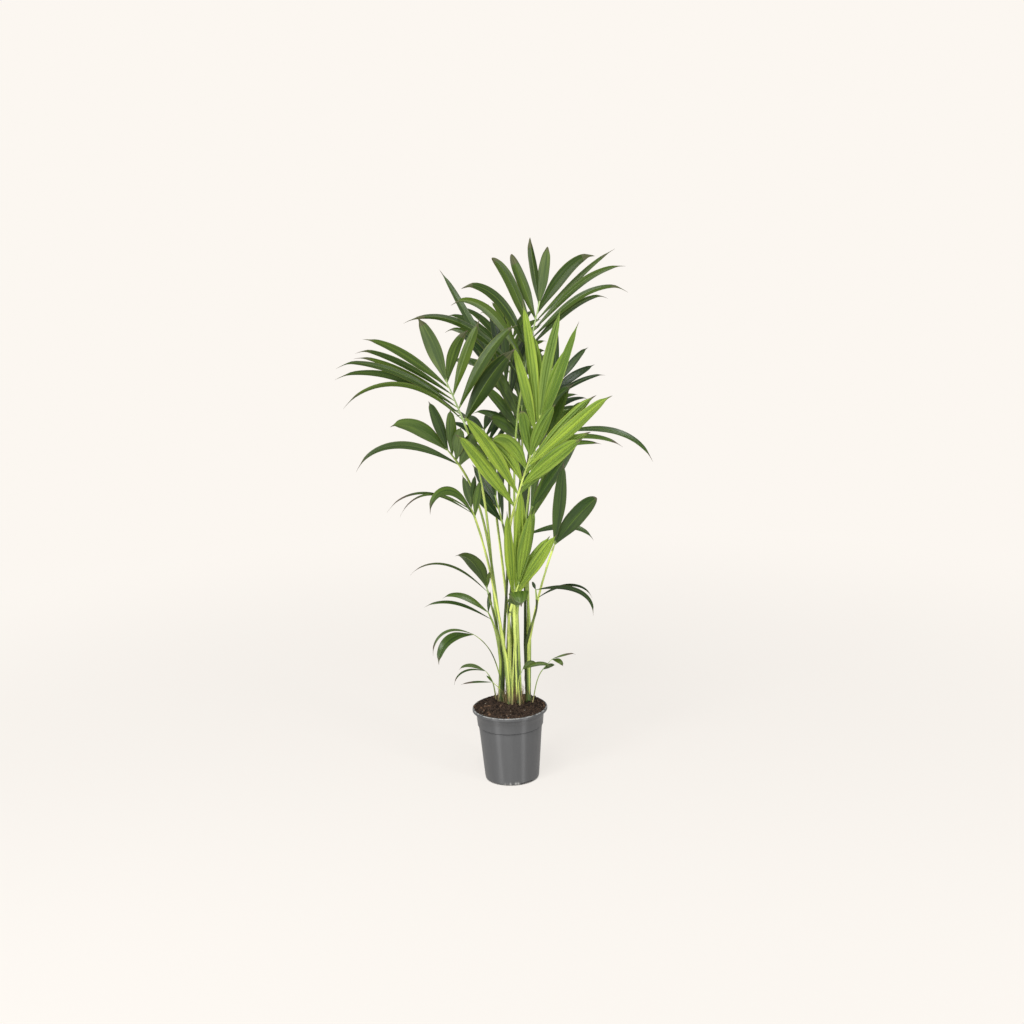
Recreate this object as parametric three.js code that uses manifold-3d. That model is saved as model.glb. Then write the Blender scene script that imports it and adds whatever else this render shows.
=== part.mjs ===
// A kentia palm: a clump of five young stems that share one nursery pot.
// Millimetres, +Z up. The origin is the middle of the pot's flat underside, and -Y is the front.
import * as THREE from 'three';
import { mergeVertices } from 'three/addons/utils/BufferGeometryUtils.js';
import Module from 'manifold-3d';

const wasm = await Module();
wasm.setup();

// ---- Driving dimensions ----

const GAP = 0.3; // clearance between pieces that meet

const POT = {
  height: 206,
  wall: 1.8,
  floor: 2.6,
  footRadius: 69.5,
  cornerRadius: 7,
  cornerTop: 8,
  cornerCut: 0.3, // how far the middle of the corner's round stands in, as a share of its radius
  bodyRadius: 89, // at the top of the tapering body
  bodyTop: 157,
  collarFoot: 92, // radius at the foot of the wider collar
  collarRadius: 95.5, // and at its top, under the lip
  ledge: 1.5, // rise of the slant between body and collar
  lipBottom: 197.5,
  lipRadius: 105,
  lipRound: 1.5, // rounding of the rolled lip
  lipCrown: 3.5, // how far the lip's top edge stands in
  facets: 32,
};

const NOTCH = { count: 3, width: 41, height: 5, depth: 16, turn: -57 }; // drainage notches in the base edge

// The soil is a mound: a flat pad that the stems stand on, a shoulder, and an edge inside the lip.
const SOIL = {
  top: 212,
  padRadius: 62,
  shoulder: 205,
  shoulderRadius: 78,
  edge: 199,
  inset: 0.2,
  facets: 28,
};

const STEM = {
  sides: 8,
  flare: 2.4, // extra radius at the soil, fading with height
  flareHeight: 9,
  taper: 1.5, // from foot to fork
  steps: [0, 0.02, 0.06, 0.14, 0.35, 0.65, 1],
};

// Each stem is a short column of leaf sheaths. foot and fork are places in plan.
const STEMS = {
  a: { foot: [-24, 30], fork: [-17, 28], height: 115, radius: 8.6 },
  b: { foot: [3, 10], fork: [-3, 6], height: 130, radius: 9.0 },
  c: { foot: [27, 4], fork: [25, 2], height: 260, radius: 7.6 },
  d: { foot: [52, 24], fork: [55, 20], height: 165, radius: 6.8 },
  e: { foot: [11, 50], fork: [16, 54], height: 150, radius: 9.5 },
};

const STALK = { sides: 5, steps: 6, footRadius: 3.6, tipRadius: 2.7, lean: 0.75, rise: 0.4, reach: 0.3 };
const SEEDLING_STALK = { footRadius: 1.9, tipRadius: 1.2 }; // thin stalks that rise from the soil
const RIB = {
  sides: 5,
  steps: 5,
  tipShare: 0.55, // of the radius at its foot
  arch: 0.1,
  firstLeaflet: 0.09, // shares of the rib that carry leaflets
  lastLeaflet: 0.97,
  stagger: 0.025, // how much lower the right side's leaflets stand
};

const LEAFLET = {
  steps: 24, // even steps along the midrib
  rings: [0, 3, 7, 11, 16, 20], // steps that carry a ring of the solid; the tip closes it
  shortRings: [0, 4, 9, 14, 19],
  short: 200, // a leaflet under this length has fewer rings
  thickness: 0.014, // of its length
  rootShare: 0.16, // of the full width, where it leaves the rib
  rootPower: 1.4, // over 1, the root stays narrow for longer
  peak: 0.5, // share of the length at which it is widest
  taperPower: 0.75, // under 1, a keen tip is full and closes late
  bend: [1.2], // how far the bending gathers towards the tip
  lift: [26, 8], // degrees out of the blade, at the heart and at the crest
  wobble: { angle: 3, lift: 12, length: 0.05, droop: 0.15, twist: 16 },
  clearance: 0.45, // added all round when looking for free space
  touch: 1e-3, // cubic millimetres that count as not touching
  freeFrom: 6, // step from which leaflets of one frond keep clear of each other
};

// Turns tried in order, [swing along the rib, lift out of the blade], until a leaflet hangs free.
const TURNS = [
  [0, 0], [0, 8], [0, -8], [5, 0], [-5, 0], [5, 10], [-5, -10], [-5, 10], [5, -10],
  [10, 0], [-10, 0], [0, 18], [0, -18], [10, 16], [-10, -16],
];

const OLD = 0x3f6b2c;
const DEEP = 0x2c5226;
const FRESH = 0x84b532;

// Each leaf: the stem or the spot of soil (foot) it rises from, the heart where its leaflets begin, the
// crest where its rib ends, and the bearing and elevation its blade faces, with arch if its rib arches
// more or less than most. The lists of a side run from the heart to the crest: angles from the rib,
// lengths, droop, widths, lift out of the blade, bend and blunt tips. first is the share of the rib
// where a side starts.
const LEAVES = [
  {
    name: 'crown', stem: 'c', heart: [62, 20, 1092], crest: [118, 30, 1322], faces: [-72, 12],
    colour: OLD,
    left: {
      count: 6, angle: [48, 38, 40, 37, 35, 23], length: [408, 292, 278, 245, 188, 176],
      droop: [68, 80, 72, 34, -2, -8], width: [21, 27, 28, 29, 28, 26], lift: [8, 0],
      bend: [1, 2.6, 2.6], blunt: [0, 0, 0.3, 1, 1, 0.6],
    },
    right: {
      count: 6, first: 0.5, angle: [33, 35, 30, 30, 20, -7], length: [264, 320, 308, 288, 222, 152],
      droop: [44, 56, 48, 16, 46, 6], width: [18, 17, 20, 15, 34, 31], lift: [-4, 0], bend: [1.8],
      blunt: [0, 0, 0, 0, 0.2, 0.7],
    },
  },
  {
    name: 'upper_left', stem: 'b', heart: [32, 105, 1055], crest: [8, 112, 1130], faces: [-118, 12],
    colour: DEEP,
    left: { count: 3, angle: [24, 10], length: [180, 200, 325], droop: [24, 4], width: [26, 26] },
    right: { count: 3, angle: [34, 16], length: [220, 200], droop: [30, 10], width: [28, 30] },
  },
  {
    name: 'big_left', stem: 'a', heart: [-91, -40, 1006], crest: [-136, -60, 1128], faces: [-108, 12],
    colour: OLD,
    left: {
      count: 7, angle: [24, 33, 29, 33, 30, 24, -7], length: [375, 355, 352, 307, 272, 258, 188],
      droop: [95, 44, 34, 26, 30, 36, 16], width: [14, 19, 18, 16, 18, 23, 40], bend: [0.6, 1.2, 1.2],
    },
    right: {
      count: 4, angle: [50, 48, 42, 32], length: [236, 284, 228, 158], droop: [20, 32, 10, 40],
      width: [48, 30, 28, 30], lift: [-12, 0],
    },
  },
  {
    name: 'left_mid', stem: 'b', heart: [-105, -120, 908], crest: [-136, -150, 958], faces: [-112, 20],
    colour: DEEP,
    left: { count: 2, angle: [22, 6], length: [340, 208], droop: [72, 56], width: [21, 38] },
    right: {
      count: 4, angle: [48, 40, 32, 17], length: [150, 160, 165, 180], droop: [5, 5, 10, 10],
      width: [40, 34, 28, 28], lift: [26, -14],
    },
  },
  {
    name: 'front', stem: 'c', heart: [28, -130, 785], crest: [78, -190, 943], faces: [-80, 20],
    colour: FRESH,
    left: {
      count: 5, angle: [43, 41, 36, 36, 28], length: [292, 290, 176, 158, 126],
      droop: [10, 10, 50, 72, 8], width: [36, 36, 36, 38, 31], lift: [0, 0], blunt: [0, 0, 0.5, 1, 1],
    },
    right: {
      count: 5, first: 0.3, angle: [22, 24, 15, 23, 0], length: [285, 236, 300, 298, 166],
      droop: [12, 16, 10, 8, 12], width: [38, 40, 32, 34, 38], lift: [8, 0], blunt: [0.3, 0],
    },
  },
  {
    name: 'spear', stem: 'c', heart: [96, -20, 958], crest: [109, -20, 1024], faces: [-115, 12],
    colour: FRESH,
    left: { count: 3, angle: [18, 13, 14], length: [270, 338, 222], droop: [6, 4], width: [28, 32] },
    right: {
      count: 3, angle: [13, 0, 0], length: [342, 336, 200], droop: [6, 4], width: [28, 30],
      lift: [0, 0],
    },
  },
  {
    name: 'right_back', stem: 'd', heart: [121, 120, 1022], crest: [157, 140, 1088], faces: [-60, 12],
    colour: DEEP,
    left: { count: 3, angle: [60, 30], length: [200, 160], droop: [30, 15], width: [28, 26] },
    right: {
      count: 3, first: 0.35, angle: [31, 22, 7], length: [188, 158, 146], droop: [24, 12],
      width: [14, 25, 22],
    },
  },
  {
    name: 'right_arch', stem: 'd', heart: [102, 40, 922], crest: [152, 30, 971], faces: [-90, 30],
    colour: DEEP,
    left: { count: 3, angle: [40, 12], length: [190, 150, 120], droop: [20, 10], width: [30, 26] },
    right: {
      count: 3, angle: [36, 36, 34], length: [198, 250, 300], droop: [24, 44, 84], width: [16, 14, 17],
    },
  },
  {
    name: 'right_pair', stem: 'd', heart: [130, -30, 654], crest: [138, -30, 673], faces: [-62, 12],
    colour: DEEP,
    left: { count: 1, angle: [23], length: [240], droop: [4], width: [38] },
    right: { count: 1, angle: [15], length: [164], droop: [14], width: [50], blunt: [1] },
  },
  {
    name: 'inner', stem: 'b', heart: [20, -128, 547], crest: [36, -138, 592], faces: [-78, 12],
    colour: FRESH,
    left: {
      count: 3, angle: [20, 16, 10], length: [290, 300, 215], droop: [4, 4], width: [30, 36],
      lift: [10, 14],
    },
    right: {
      count: 3, angle: [13, 4, -10], length: [200, 205, 232], droop: [4, 4], width: [38, 26],
      lift: [-4, 10],
    },
  },
  {
    name: 'folded', foot: [7, -7], heart: [28, -150, 514], crest: [31, -155, 536], faces: [-90, 20],
    colour: DEEP,
    left: { count: 1, angle: [24], length: [48], droop: [150], width: [30] },
    right: { count: 1, angle: [-6], length: [132], droop: [178], width: [52], bend: [0.6] },
  },
  {
    name: 'right_low', stem: 'd', heart: [84, -30, 520], crest: [82, -36, 550], faces: [-90, 40],
    colour: DEEP,
    left: { count: 1, angle: [10], length: [30], droop: [20], width: [9] },
    right: {
      count: 2, angle: [60, 78], length: [182, 200], droop: [102, 120], width: [10, 15], lift: [10, 0],
    },
  },
  {
    name: 'left_pair', stem: 'a', heart: [-47, -40, 545], crest: [-51, -44, 562], faces: [-110, 12],
    colour: OLD,
    left: { count: 2, angle: [30, 0], length: [262, 160], droop: [92, 66], width: [7, 50] },
    right: { count: 1, angle: [24], length: [60], droop: [10], width: [12] },
  },
  {
    name: 'left_twin', stem: 'a', heart: [-42, 40, 446], crest: [-52, 50, 467], faces: [-90, 40],
    colour: DEEP,
    left: { count: 2, angle: [45, 24], length: [220, 150], droop: [56, 60], width: [14, 20] },
    right: { count: 1, angle: [30], length: [70], droop: [30], width: [12] },
  },
  {
    name: 'left_low', foot: [-9, 23], heart: [-72, -40, 414], crest: [-93, -50, 434], faces: [-90, 60],
    colour: DEEP,
    left: { count: 1, angle: [28], length: [186], droop: [98], width: [27] },
    right: { count: 1, angle: [-18], length: [182], droop: [114], width: [8] },
  },
  {
    name: 'low_left_a', foot: [-38, 38], heart: [-55, 0, 298], crest: [-64, 0, 311], faces: [-90, 50],
    colour: DEEP,
    left: { count: 1, angle: [40], length: [125], droop: [110], width: [6] },
    right: { count: 1, angle: [-18], length: [80], droop: [70], width: [11] },
  },
  {
    name: 'low_left_b', foot: [-15, 14], heart: [-26, -12, 262], crest: [-46, -10, 282], faces: [-90, 60],
    colour: DEEP, arch: 0,
    left: { count: 1, angle: [46], length: [118], droop: [12], width: [6] },
    right: { count: 1, angle: [20], length: [28], droop: [20], width: [10] },
  },
  {
    name: 'low_right_a', foot: [28, -11], heart: [32, -26, 304], crest: [40, -26, 322], faces: [-90, 50],
    colour: OLD,
    left: { count: 1, angle: [-14], length: [48], droop: [80], width: [15] },
    right: { count: 1, angle: [36], length: [98], droop: [58], width: [12] },
  },
  {
    name: 'low_right_b', foot: [64, 8], heart: [94, 8, 305], crest: [124, 8, 338], faces: [-90, 50],
    colour: OLD,
    left: { count: 1, angle: [-26], length: [68], droop: [24], width: [6] },
    right: { count: 2, angle: [14, 56], length: [38, 46], droop: [40, 70], width: [12, 14] },
  },
  {
    name: 'centre_left', stem: 'a', heart: [-2, 60, 715], crest: [-20, 80, 790], faces: [-130, 12],
    colour: DEEP,
    left: { count: 3, angle: [22, 8], length: [150, 160], droop: [8, 4], width: [32, 32] },
    right: { count: 3, angle: [30, 10], length: [200, 160], droop: [8, 4], width: [34, 32] },
  },
  {
    name: 'spider', stem: 'b', heart: [-73, -110, 769], crest: [-82, -120, 798], faces: [-90, 30],
    colour: DEEP,
    left: {
      count: 4, angle: [8, 30, 27, -10], length: [225, 305, 270, 100], droop: [165, 86, 88, 4],
      width: [24, 7, 7, 20],
    },
    right: { count: 2, angle: [24, 28], length: [110, 100], droop: [4, 4], width: [20, 18] },
  },
  {
    name: 'under_right', stem: 'e', heart: [55, 53, 676], crest: [79, 65, 756], faces: [-65, 12],
    colour: DEEP,
    left: { count: 3, angle: [30, 8], length: [200, 230], droop: [8, 4], width: [34, 34] },
    right: {
      count: 4, angle: [57, 6, 8, 8], length: [226, 275, 285, 250], droop: [72, 30, 12, 6],
      width: [18, 40, 38, 34], lift: [0, 8],
    },
  },
  {
    name: 'centre', stem: 'e', heart: [60, 100, 935], crest: [62, 108, 1035], faces: [-60, 12],
    colour: DEEP,
    left: { count: 5, angle: [62, 10], length: [190, 250, 200], droop: [20, 6], width: [42, 34] },
    right: { count: 5, angle: [56, 10], length: [190, 220, 200], droop: [20, 6], width: [34, 34] },
  },
  {
    name: 'back_high', stem: 'e', heart: [30, 170, 1080], crest: [45, 290, 1220], faces: [-90, 45],
    colour: OLD, arch: 0.3,
    left: { count: 6, angle: [56, 20], length: [200, 270, 200], droop: [60, 40], width: [28, 30, 28] },
    right: { count: 6, angle: [50, 16], length: [110, 150, 165], droop: [60, 40], width: [28, 30, 28] },
  },
  {
    name: 'back_left', stem: 'e', heart: [-34, 205, 860], crest: [-50, 335, 950], faces: [-80, 55],
    colour: DEEP, arch: 0.3,
    left: { count: 5, angle: [34, 18], length: [150, 200, 170], droop: [60, 40], width: [28, 30, 28] },
    right: { count: 5, angle: [50, 20], length: [220, 260, 190], droop: [60, 40], width: [28, 30, 28] },
  },
  {
    name: 'back_right', stem: 'd', heart: [80, 190, 900], crest: [110, 320, 1000], faces: [-100, 55],
    colour: DEEP, arch: 0.3,
    left: { count: 5, angle: [50, 20], length: [220, 270, 190], droop: [60, 40], width: [28, 30, 28] },
    right: { count: 5, angle: [44, 20], length: [190, 240, 190], droop: [60, 40], width: [28, 30, 28] },
  },
];

// ---- Closed solids from rings ----

function solidOf(vertices, triangles) {
  const mesh = new wasm.Mesh({
    numProp: 3,
    vertProperties: new Float32Array(vertices),
    triVerts: new Uint32Array(triangles),
  });
  return new wasm.Manifold(mesh);
}

// A lathe or box geometry as a solid: only its positions count, and triangles flat on the axis go.
function solidOfGeometry(geometry) {
  geometry.deleteAttribute('normal');
  geometry.deleteAttribute('uv');
  const merged = mergeVertices(geometry, 1e-4);
  const corners = Array.from(merged.index.array);
  const kept = [];
  for (let i = 0; i < corners.length; i += 3) {
    const [a, b, c] = corners.slice(i, i + 3);
    if (a !== b && b !== c && c !== a) kept.push(a, b, c);
  }
  return solidOf(merged.attributes.position.array, kept);
}

// Rings of equal count from foot to tip, joined and capped. A last ring of one point is a pointed tip.
function loft(rings) {
  const sides = rings[0].length;
  const triangles = [];
  for (let k = 2; k < sides; k += 1) triangles.push(0, k, k - 1);
  for (let r = 1; r < rings.length; r += 1) {
    const below = (r - 1) * sides;
    const above = r * sides;
    for (let k = 0; k < sides; k += 1) {
      const next = (k + 1) % sides;
      if (rings[r].length === 1) {
        triangles.push(below + k, below + next, above);
      } else {
        triangles.push(below + k, below + next, above + next);
        triangles.push(below + k, above + next, above + k);
      }
    }
  }
  const last = (rings.length - 1) * sides;
  if (rings[rings.length - 1].length > 1) {
    for (let k = 2; k < sides; k += 1) triangles.push(last, last + k - 1, last + k);
  }
  return solidOf(rings.flat().flatMap((point) => point.toArray()), triangles);
}

// The outer skin of the largest body: a hollow that fusing has sealed is filled, and loose scraps go.
function outerBody(solid) {
  return solid.decompose().reduce((best, piece) => (piece.volume() > best.volume() ? piece : best));
}

// A round ring of the given radius about a point, square to the direction `along`.
function roundRing(centre, along, radius, sides) {
  const across = new THREE.Vector3(0, 1, 0).cross(along);
  if (across.lengthSq() < 1e-4) across.set(1, 0, 0);
  across.normalize();
  const over = along.clone().cross(across);
  return Array.from({ length: sides }, (_, k) => {
    const turn = (2 * Math.PI * k) / sides;
    const ring = centre.clone().addScaledVector(across, radius * Math.cos(turn));
    return ring.addScaledVector(over, radius * Math.sin(turn));
  });
}

// A tapering limb along a curve. Its foot is cut square to `footing`, and its tip square to the curve.
function limb(curve, footing, footRadius, tipRadius, sides, steps) {
  const rings = [];
  for (let k = 0; k <= steps; k += 1) {
    const share = k / steps;
    const radius = THREE.MathUtils.lerp(footRadius, tipRadius, share);
    const square = k === 0 ? footing : curve.getTangent(share).normalize();
    rings.push(roundRing(curve.getPoint(share), square, radius, sides));
  }
  return loft(rings);
}

// ---- Pot and soil ----

function turned(profile, facets) {
  const points = profile.map(([radius, height]) => new THREE.Vector2(radius, height));
  const geometry = new THREE.LatheGeometry(points, facets);
  geometry.rotateX(Math.PI / 2);
  return solidOfGeometry(geometry);
}

function potSolid() {
  const { wall, floor, height, cornerRadius, ledge, lipRadius, lipBottom, lipRound, lipCrown } = POT;
  const cornerInset = cornerRadius * POT.cornerCut;
  const cornerWidth = POT.footRadius + cornerRadius;
  const profile = [
    [0, 0],
    [POT.footRadius, 0],
    [cornerWidth - cornerInset, cornerInset],
    [cornerWidth, POT.cornerTop],
    [POT.bodyRadius, POT.bodyTop],
    [POT.collarFoot, POT.bodyTop + ledge],
    [POT.collarRadius, lipBottom],
    [lipRadius - lipRound, lipBottom],
    [lipRadius, lipBottom + lipRound],
    [lipRadius, height - lipCrown * 0.5],
    [lipRadius - lipCrown, height],
    [POT.collarRadius - wall + lipRound, height - lipRound],
    [POT.collarRadius - wall, lipBottom],
    [POT.collarFoot - wall, POT.bodyTop + ledge],
    [POT.bodyRadius - wall, POT.bodyTop],
    [cornerWidth - wall, POT.cornerTop],
    [POT.footRadius, floor],
    [0, floor],
  ];
  let pot = turned(profile, POT.facets);
  for (let k = 0; k < NOTCH.count; k += 1) {
    const cutter = new THREE.BoxGeometry(NOTCH.depth, NOTCH.width, NOTCH.height * 2).toNonIndexed();
    cutter.translate(cornerWidth, 0, 0);
    cutter.rotateZ(THREE.MathUtils.degToRad(NOTCH.turn + (360 * k) / NOTCH.count));
    pot = pot.subtract(solidOfGeometry(cutter));
  }
  return pot;
}

function soilSolid() {
  const { wall, floor } = POT;
  const inset = wall + GAP + SOIL.inset; // a little over the gap, because both are faceted
  const cornerWidth = POT.footRadius + POT.cornerRadius;
  const edgeShare = (SOIL.edge - POT.bodyTop) / (POT.lipBottom - POT.bodyTop);
  const edgeRadius = THREE.MathUtils.lerp(POT.collarFoot, POT.collarRadius, edgeShare);
  const profile = [
    [0, floor + GAP],
    [POT.footRadius - GAP, floor + GAP],
    [cornerWidth - inset - GAP, POT.cornerTop + GAP],
    [POT.bodyRadius - inset, POT.bodyTop],
    [edgeRadius - inset, SOIL.edge],
    [SOIL.shoulderRadius, SOIL.shoulder],
    [SOIL.padRadius, SOIL.top],
    [0, SOIL.top],
  ];
  return turned(profile, SOIL.facets);
}

// ---- Stems and stalks ----

const UP = new THREE.Vector3(0, 0, 1);

function stemSolid(stem) {
  const foot = new THREE.Vector3(...stem.foot, SOIL.top + GAP);
  const fork = new THREE.Vector3(...stem.fork, SOIL.top + GAP + stem.height);
  const rings = STEM.steps.map((share) => {
    const centre = foot.clone().lerp(fork, share);
    const height = share * stem.height;
    const flare = STEM.flare * Math.exp(-height / STEM.flareHeight);
    const radius = stem.radius + STEM.taper * (1 - share) + flare;
    return roundRing(centre, UP, radius, STEM.sides);
  });
  return loft(rings);
}

// The seats of a stem's stalks are dealt evenly round its top, in the order of their bearings.
function seatsOf(key) {
  const stem = STEMS[key];
  const bearing = (leaf) => Math.atan2(leaf.heart[1] - stem.fork[1], leaf.heart[0] - stem.fork[0]);
  const own = LEAVES.filter((leaf) => leaf.stem === key).sort((a, b) => bearing(a) - bearing(b));
  const step = (2 * Math.PI) / own.length;
  const start = own.reduce((sum, leaf, k) => sum + bearing(leaf) - k * step, 0) / own.length;
  const spread = own.length === 1 ? 0 : (STALK.footRadius + GAP) / Math.sin(Math.PI / own.length);
  return new Map(own.map((leaf, k) => {
    const turn = start + k * step;
    const place = [stem.fork[0] + spread * Math.cos(turn), stem.fork[1] + spread * Math.sin(turn)];
    return [leaf.name, new THREE.Vector3(...place, SOIL.top + GAP * 2 + stem.height)];
  }));
}

function aimOf(leaf) {
  const heart = new THREE.Vector3(...leaf.heart);
  const run = new THREE.Vector3(...leaf.crest).sub(heart);
  return run.addScaledVector(UP, (leaf.arch ?? RIB.arch) * run.length()).normalize();
}

function stalkCurve(leaf, seat) {
  const heart = new THREE.Vector3(...leaf.heart);
  const span = heart.distanceTo(seat);
  const start = heart.clone().sub(seat).normalize().lerp(UP, 1 - STALK.lean).normalize();
  const rising = seat.clone().addScaledVector(start, STALK.rise * span);
  const arriving = heart.clone().addScaledVector(aimOf(leaf), -STALK.reach * span);
  return new THREE.CubicBezierCurve3(seat, rising, arriving, heart);
}

function ribCurve(leaf) {
  const aim = aimOf(leaf);
  const foot = new THREE.Vector3(...leaf.heart).addScaledVector(aim, GAP);
  const crest = new THREE.Vector3(...leaf.crest);
  const middle = foot.clone().addScaledVector(aim, 0.5 * foot.distanceTo(crest));
  return new THREE.QuadraticBezierCurve3(foot, middle, crest);
}

// ---- Leaflets ----

// A repeatable number between -1 and 1.
function wobble(seed, salt) {
  const wave = Math.sin(seed * 12.9898 + salt * 78.233) * 43758.5453;
  return 2 * (wave - Math.floor(wave)) - 1;
}

// The value at `share` of the way along a list of evenly spaced values.
function along(values, share) {
  const place = share * (values.length - 1);
  const k = Math.min(Math.floor(place), values.length - 2);
  return k < 0 ? values[0] : THREE.MathUtils.lerp(values[k], values[k + 1], place - k);
}

// The width along a leaflet as a share of its full width; blunt is 0 for a keen tip and 1 for a round one.
function widthShare(share, blunt) {
  const { rootShare, rootPower, peak, taperPower } = LEAFLET;
  if (share < peak) {
    const rise = Math.sin((Math.PI / 2) * (share / peak)) ** rootPower;
    return rootShare + (1 - rootShare) * rise;
  }
  const left = (share - peak) / (1 - peak);
  const keenShare = Math.cos((Math.PI / 2) * left) ** taperPower;
  return THREE.MathUtils.lerp(keenShare, (1 - left ** 3.2) ** 0.6, blunt);
}

// The midrib of a leaflet: places, directions and width vectors at even steps.
function leafletSpine(leaf, rib, side, number, turn) {
  const fan = side > 0 ? leaf.left : leaf.right;
  const share = fan.count === 1 ? 1 : number / (fan.count - 1);
  const seed = LEAVES.indexOf(leaf) * 40 + (side > 0 ? 40 : 60) + number;
  const shake = LEAFLET.wobble;
  const angle = along(fan.angle, share) + shake.angle * wobble(seed, 1) + turn[0];
  const lift = along(fan.lift ?? LEAFLET.lift, share) + shake.lift * wobble(seed, 2) + turn[1];
  const length = along(fan.length, share) * (1 + shake.length * wobble(seed, 3));
  const droop = along(fan.droop, share) * (1 + shake.droop * wobble(seed, 4));
  const twist = shake.twist * wobble(seed, 5);
  const stagger = side < 0 ? RIB.stagger : 0;
  const spot = THREE.MathUtils.lerp(fan.first ?? RIB.firstLeaflet, RIB.lastLeaflet, share) - stagger;
  const rad = THREE.MathUtils.degToRad;

  const tangent = rib.getTangent(spot).normalize();
  const [bearing, elevation] = leaf.faces.map(rad);
  const normal = new THREE.Vector3(Math.cos(bearing), Math.sin(bearing), Math.tan(elevation));
  normal.addScaledVector(tangent, -normal.dot(tangent)).normalize();
  const outward = normal.clone().cross(tangent).multiplyScalar(side);
  const direction = tangent.clone().multiplyScalar(Math.cos(rad(angle)));
  direction.addScaledVector(outward, Math.sin(rad(angle)) * Math.cos(rad(lift)));
  direction.addScaledVector(normal, Math.sin(rad(angle)) * Math.sin(rad(lift))).normalize();
  const across = tangent.clone().addScaledVector(direction, -tangent.dot(direction)).normalize();
  across.applyAxisAngle(direction, rad(twist));

  const steps = LEAFLET.steps;
  const power = along(fan.bend ?? LEAFLET.bend, share);
  const weights = Array.from({ length: steps }, (_, k) => (k + 0.5) ** power);
  const whole = weights.reduce((sum, weight) => sum + weight, 0);
  const point = rib.getPoint(spot);
  const spine = [{ point: point.clone(), direction: direction.clone(), across: across.clone() }];
  for (const weight of weights) {
    const axis = new THREE.Vector3(-direction.y, direction.x, 0);
    const fall = Math.acos(THREE.MathUtils.clamp(-direction.z, -1, 1));
    const bend = Math.min((rad(droop) * weight) / whole, fall * 0.5);
    if (axis.lengthSq() > 1e-8) {
      axis.normalize();
      direction.applyAxisAngle(axis, bend);
      across.applyAxisAngle(axis, bend);
    }
    point.addScaledVector(direction, length / steps);
    spine.push({ point: point.clone(), direction: direction.clone(), across: across.clone() });
  }
  const blunt = along(fan.blunt ?? [0], share);
  return { spine, length, width: along(fan.width, share), blunt, side };
}

function leafletSolid({ spine, length, width, blunt, side }, first, clearance) {
  const steps = length < LEAFLET.short ? LEAFLET.shortRings : LEAFLET.rings;
  const rings = steps.filter((step) => step >= first).map((step) => {
    const { point, direction, across } = spine[step];
    const size = widthShare(step / LEAFLET.steps, blunt);
    const half = 0.5 * width * size + clearance;
    const thick = length * LEAFLET.thickness * (0.4 + 0.6 * size) + clearance;
    const upper = across.clone().cross(direction).multiplyScalar(side);
    const left = point.clone().addScaledVector(across, half).addScaledVector(upper, -clearance);
    const right = point.clone().addScaledVector(across, -half).addScaledVector(upper, -clearance);
    const ridge = point.clone().addScaledVector(upper, thick);
    return side > 0 ? [left, right, ridge] : [left, ridge, right];
  });
  rings.push([spine[LEAFLET.steps].point]);
  return loft(rings);
}

// ---- Scene graph ----

function meshOf(name, solid, colour, roughness) {
  const { vertProperties, triVerts, numProp } = solid.getMesh();
  const geometry = new THREE.BufferGeometry();
  const positions = new Float32Array((vertProperties.length / numProp) * 3);
  for (let k = 0; k < positions.length; k += 1) {
    positions[k] = vertProperties[Math.floor(k / 3) * numProp + (k % 3)];
  }
  geometry.setAttribute('position', new THREE.BufferAttribute(positions, 3));
  geometry.setIndex(Array.from(triVerts));
  const material = new THREE.MeshStandardMaterial({ color: colour, roughness, metalness: 0 });
  const mesh = new THREE.Mesh(geometry, material);
  mesh.name = name;
  return mesh;
}

const palm = new THREE.Group();
const placed = []; // what a leaflet keeps clear of, and the leaf it belongs to

// free is the stretch of a leaflet that those of its own leaf keep clear of as well.
function place(solid, leaf, free = solid) {
  placed.push({ solid, free, box: solid.boundingBox(), leaf });
}

function boxesMeet(one, other) {
  return [0, 1, 2].every((axis) => one.min[axis] < other.max[axis] && other.min[axis] < one.max[axis]);
}

function hangsFree(leaf, candidate) {
  const whole = leafletSolid(candidate, 0, LEAFLET.clearance);
  const free = leafletSolid(candidate, LEAFLET.freeFrom, LEAFLET.clearance);
  const box = whole.boundingBox();
  return placed.every((other) => {
    if (!boxesMeet(box, other.box)) return true;
    const shared = other.leaf === leaf ? free.intersect(other.free) : whole.intersect(other.solid);
    return shared.volume() < LEAFLET.touch;
  });
}

// The first turn in which a leaflet hangs free, or nothing where there is no room for it.
function settledLeaflet(leaf, rib, side, number) {
  for (const turn of TURNS) {
    const candidate = leafletSpine(leaf, rib, side, number, turn);
    if (hangsFree(leaf, candidate)) return candidate;
  }
  return null;
}

const pot = potSolid();
const soil = soilSolid();
place(pot);
place(soil);
palm.add(meshOf('pot', pot, 0x6a6a6b, 0.55));
palm.add(meshOf('soil', soil, 0x33241b, 0.95));

const seats = new Map();
for (const [key, stem] of Object.entries(STEMS)) {
  const solid = stemSolid(stem);
  place(solid);
  palm.add(meshOf(`stem_${key}`, solid, 0x6f9a35, 0.5));
  seatsOf(key).forEach((seat, name) => seats.set(name, seat));
}

for (const leaf of LEAVES) {
  const seedling = leaf.stem === undefined;
  const seat = seedling ? new THREE.Vector3(...leaf.foot, SOIL.top + GAP) : seats.get(leaf.name);
  const { footRadius, tipRadius } = seedling ? SEEDLING_STALK : STALK;
  const stalk = limb(stalkCurve(leaf, seat), UP, footRadius, tipRadius, STALK.sides, STALK.steps);
  const rib = limb(ribCurve(leaf), aimOf(leaf), tipRadius, tipRadius * RIB.tipShare, RIB.sides, RIB.steps);
  place(stalk);
  place(rib, leaf);
  palm.add(meshOf(`stalk_${leaf.name}`, stalk, 0x8fae4a, 0.5));
  leaf.parts = [rib];
}

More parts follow.
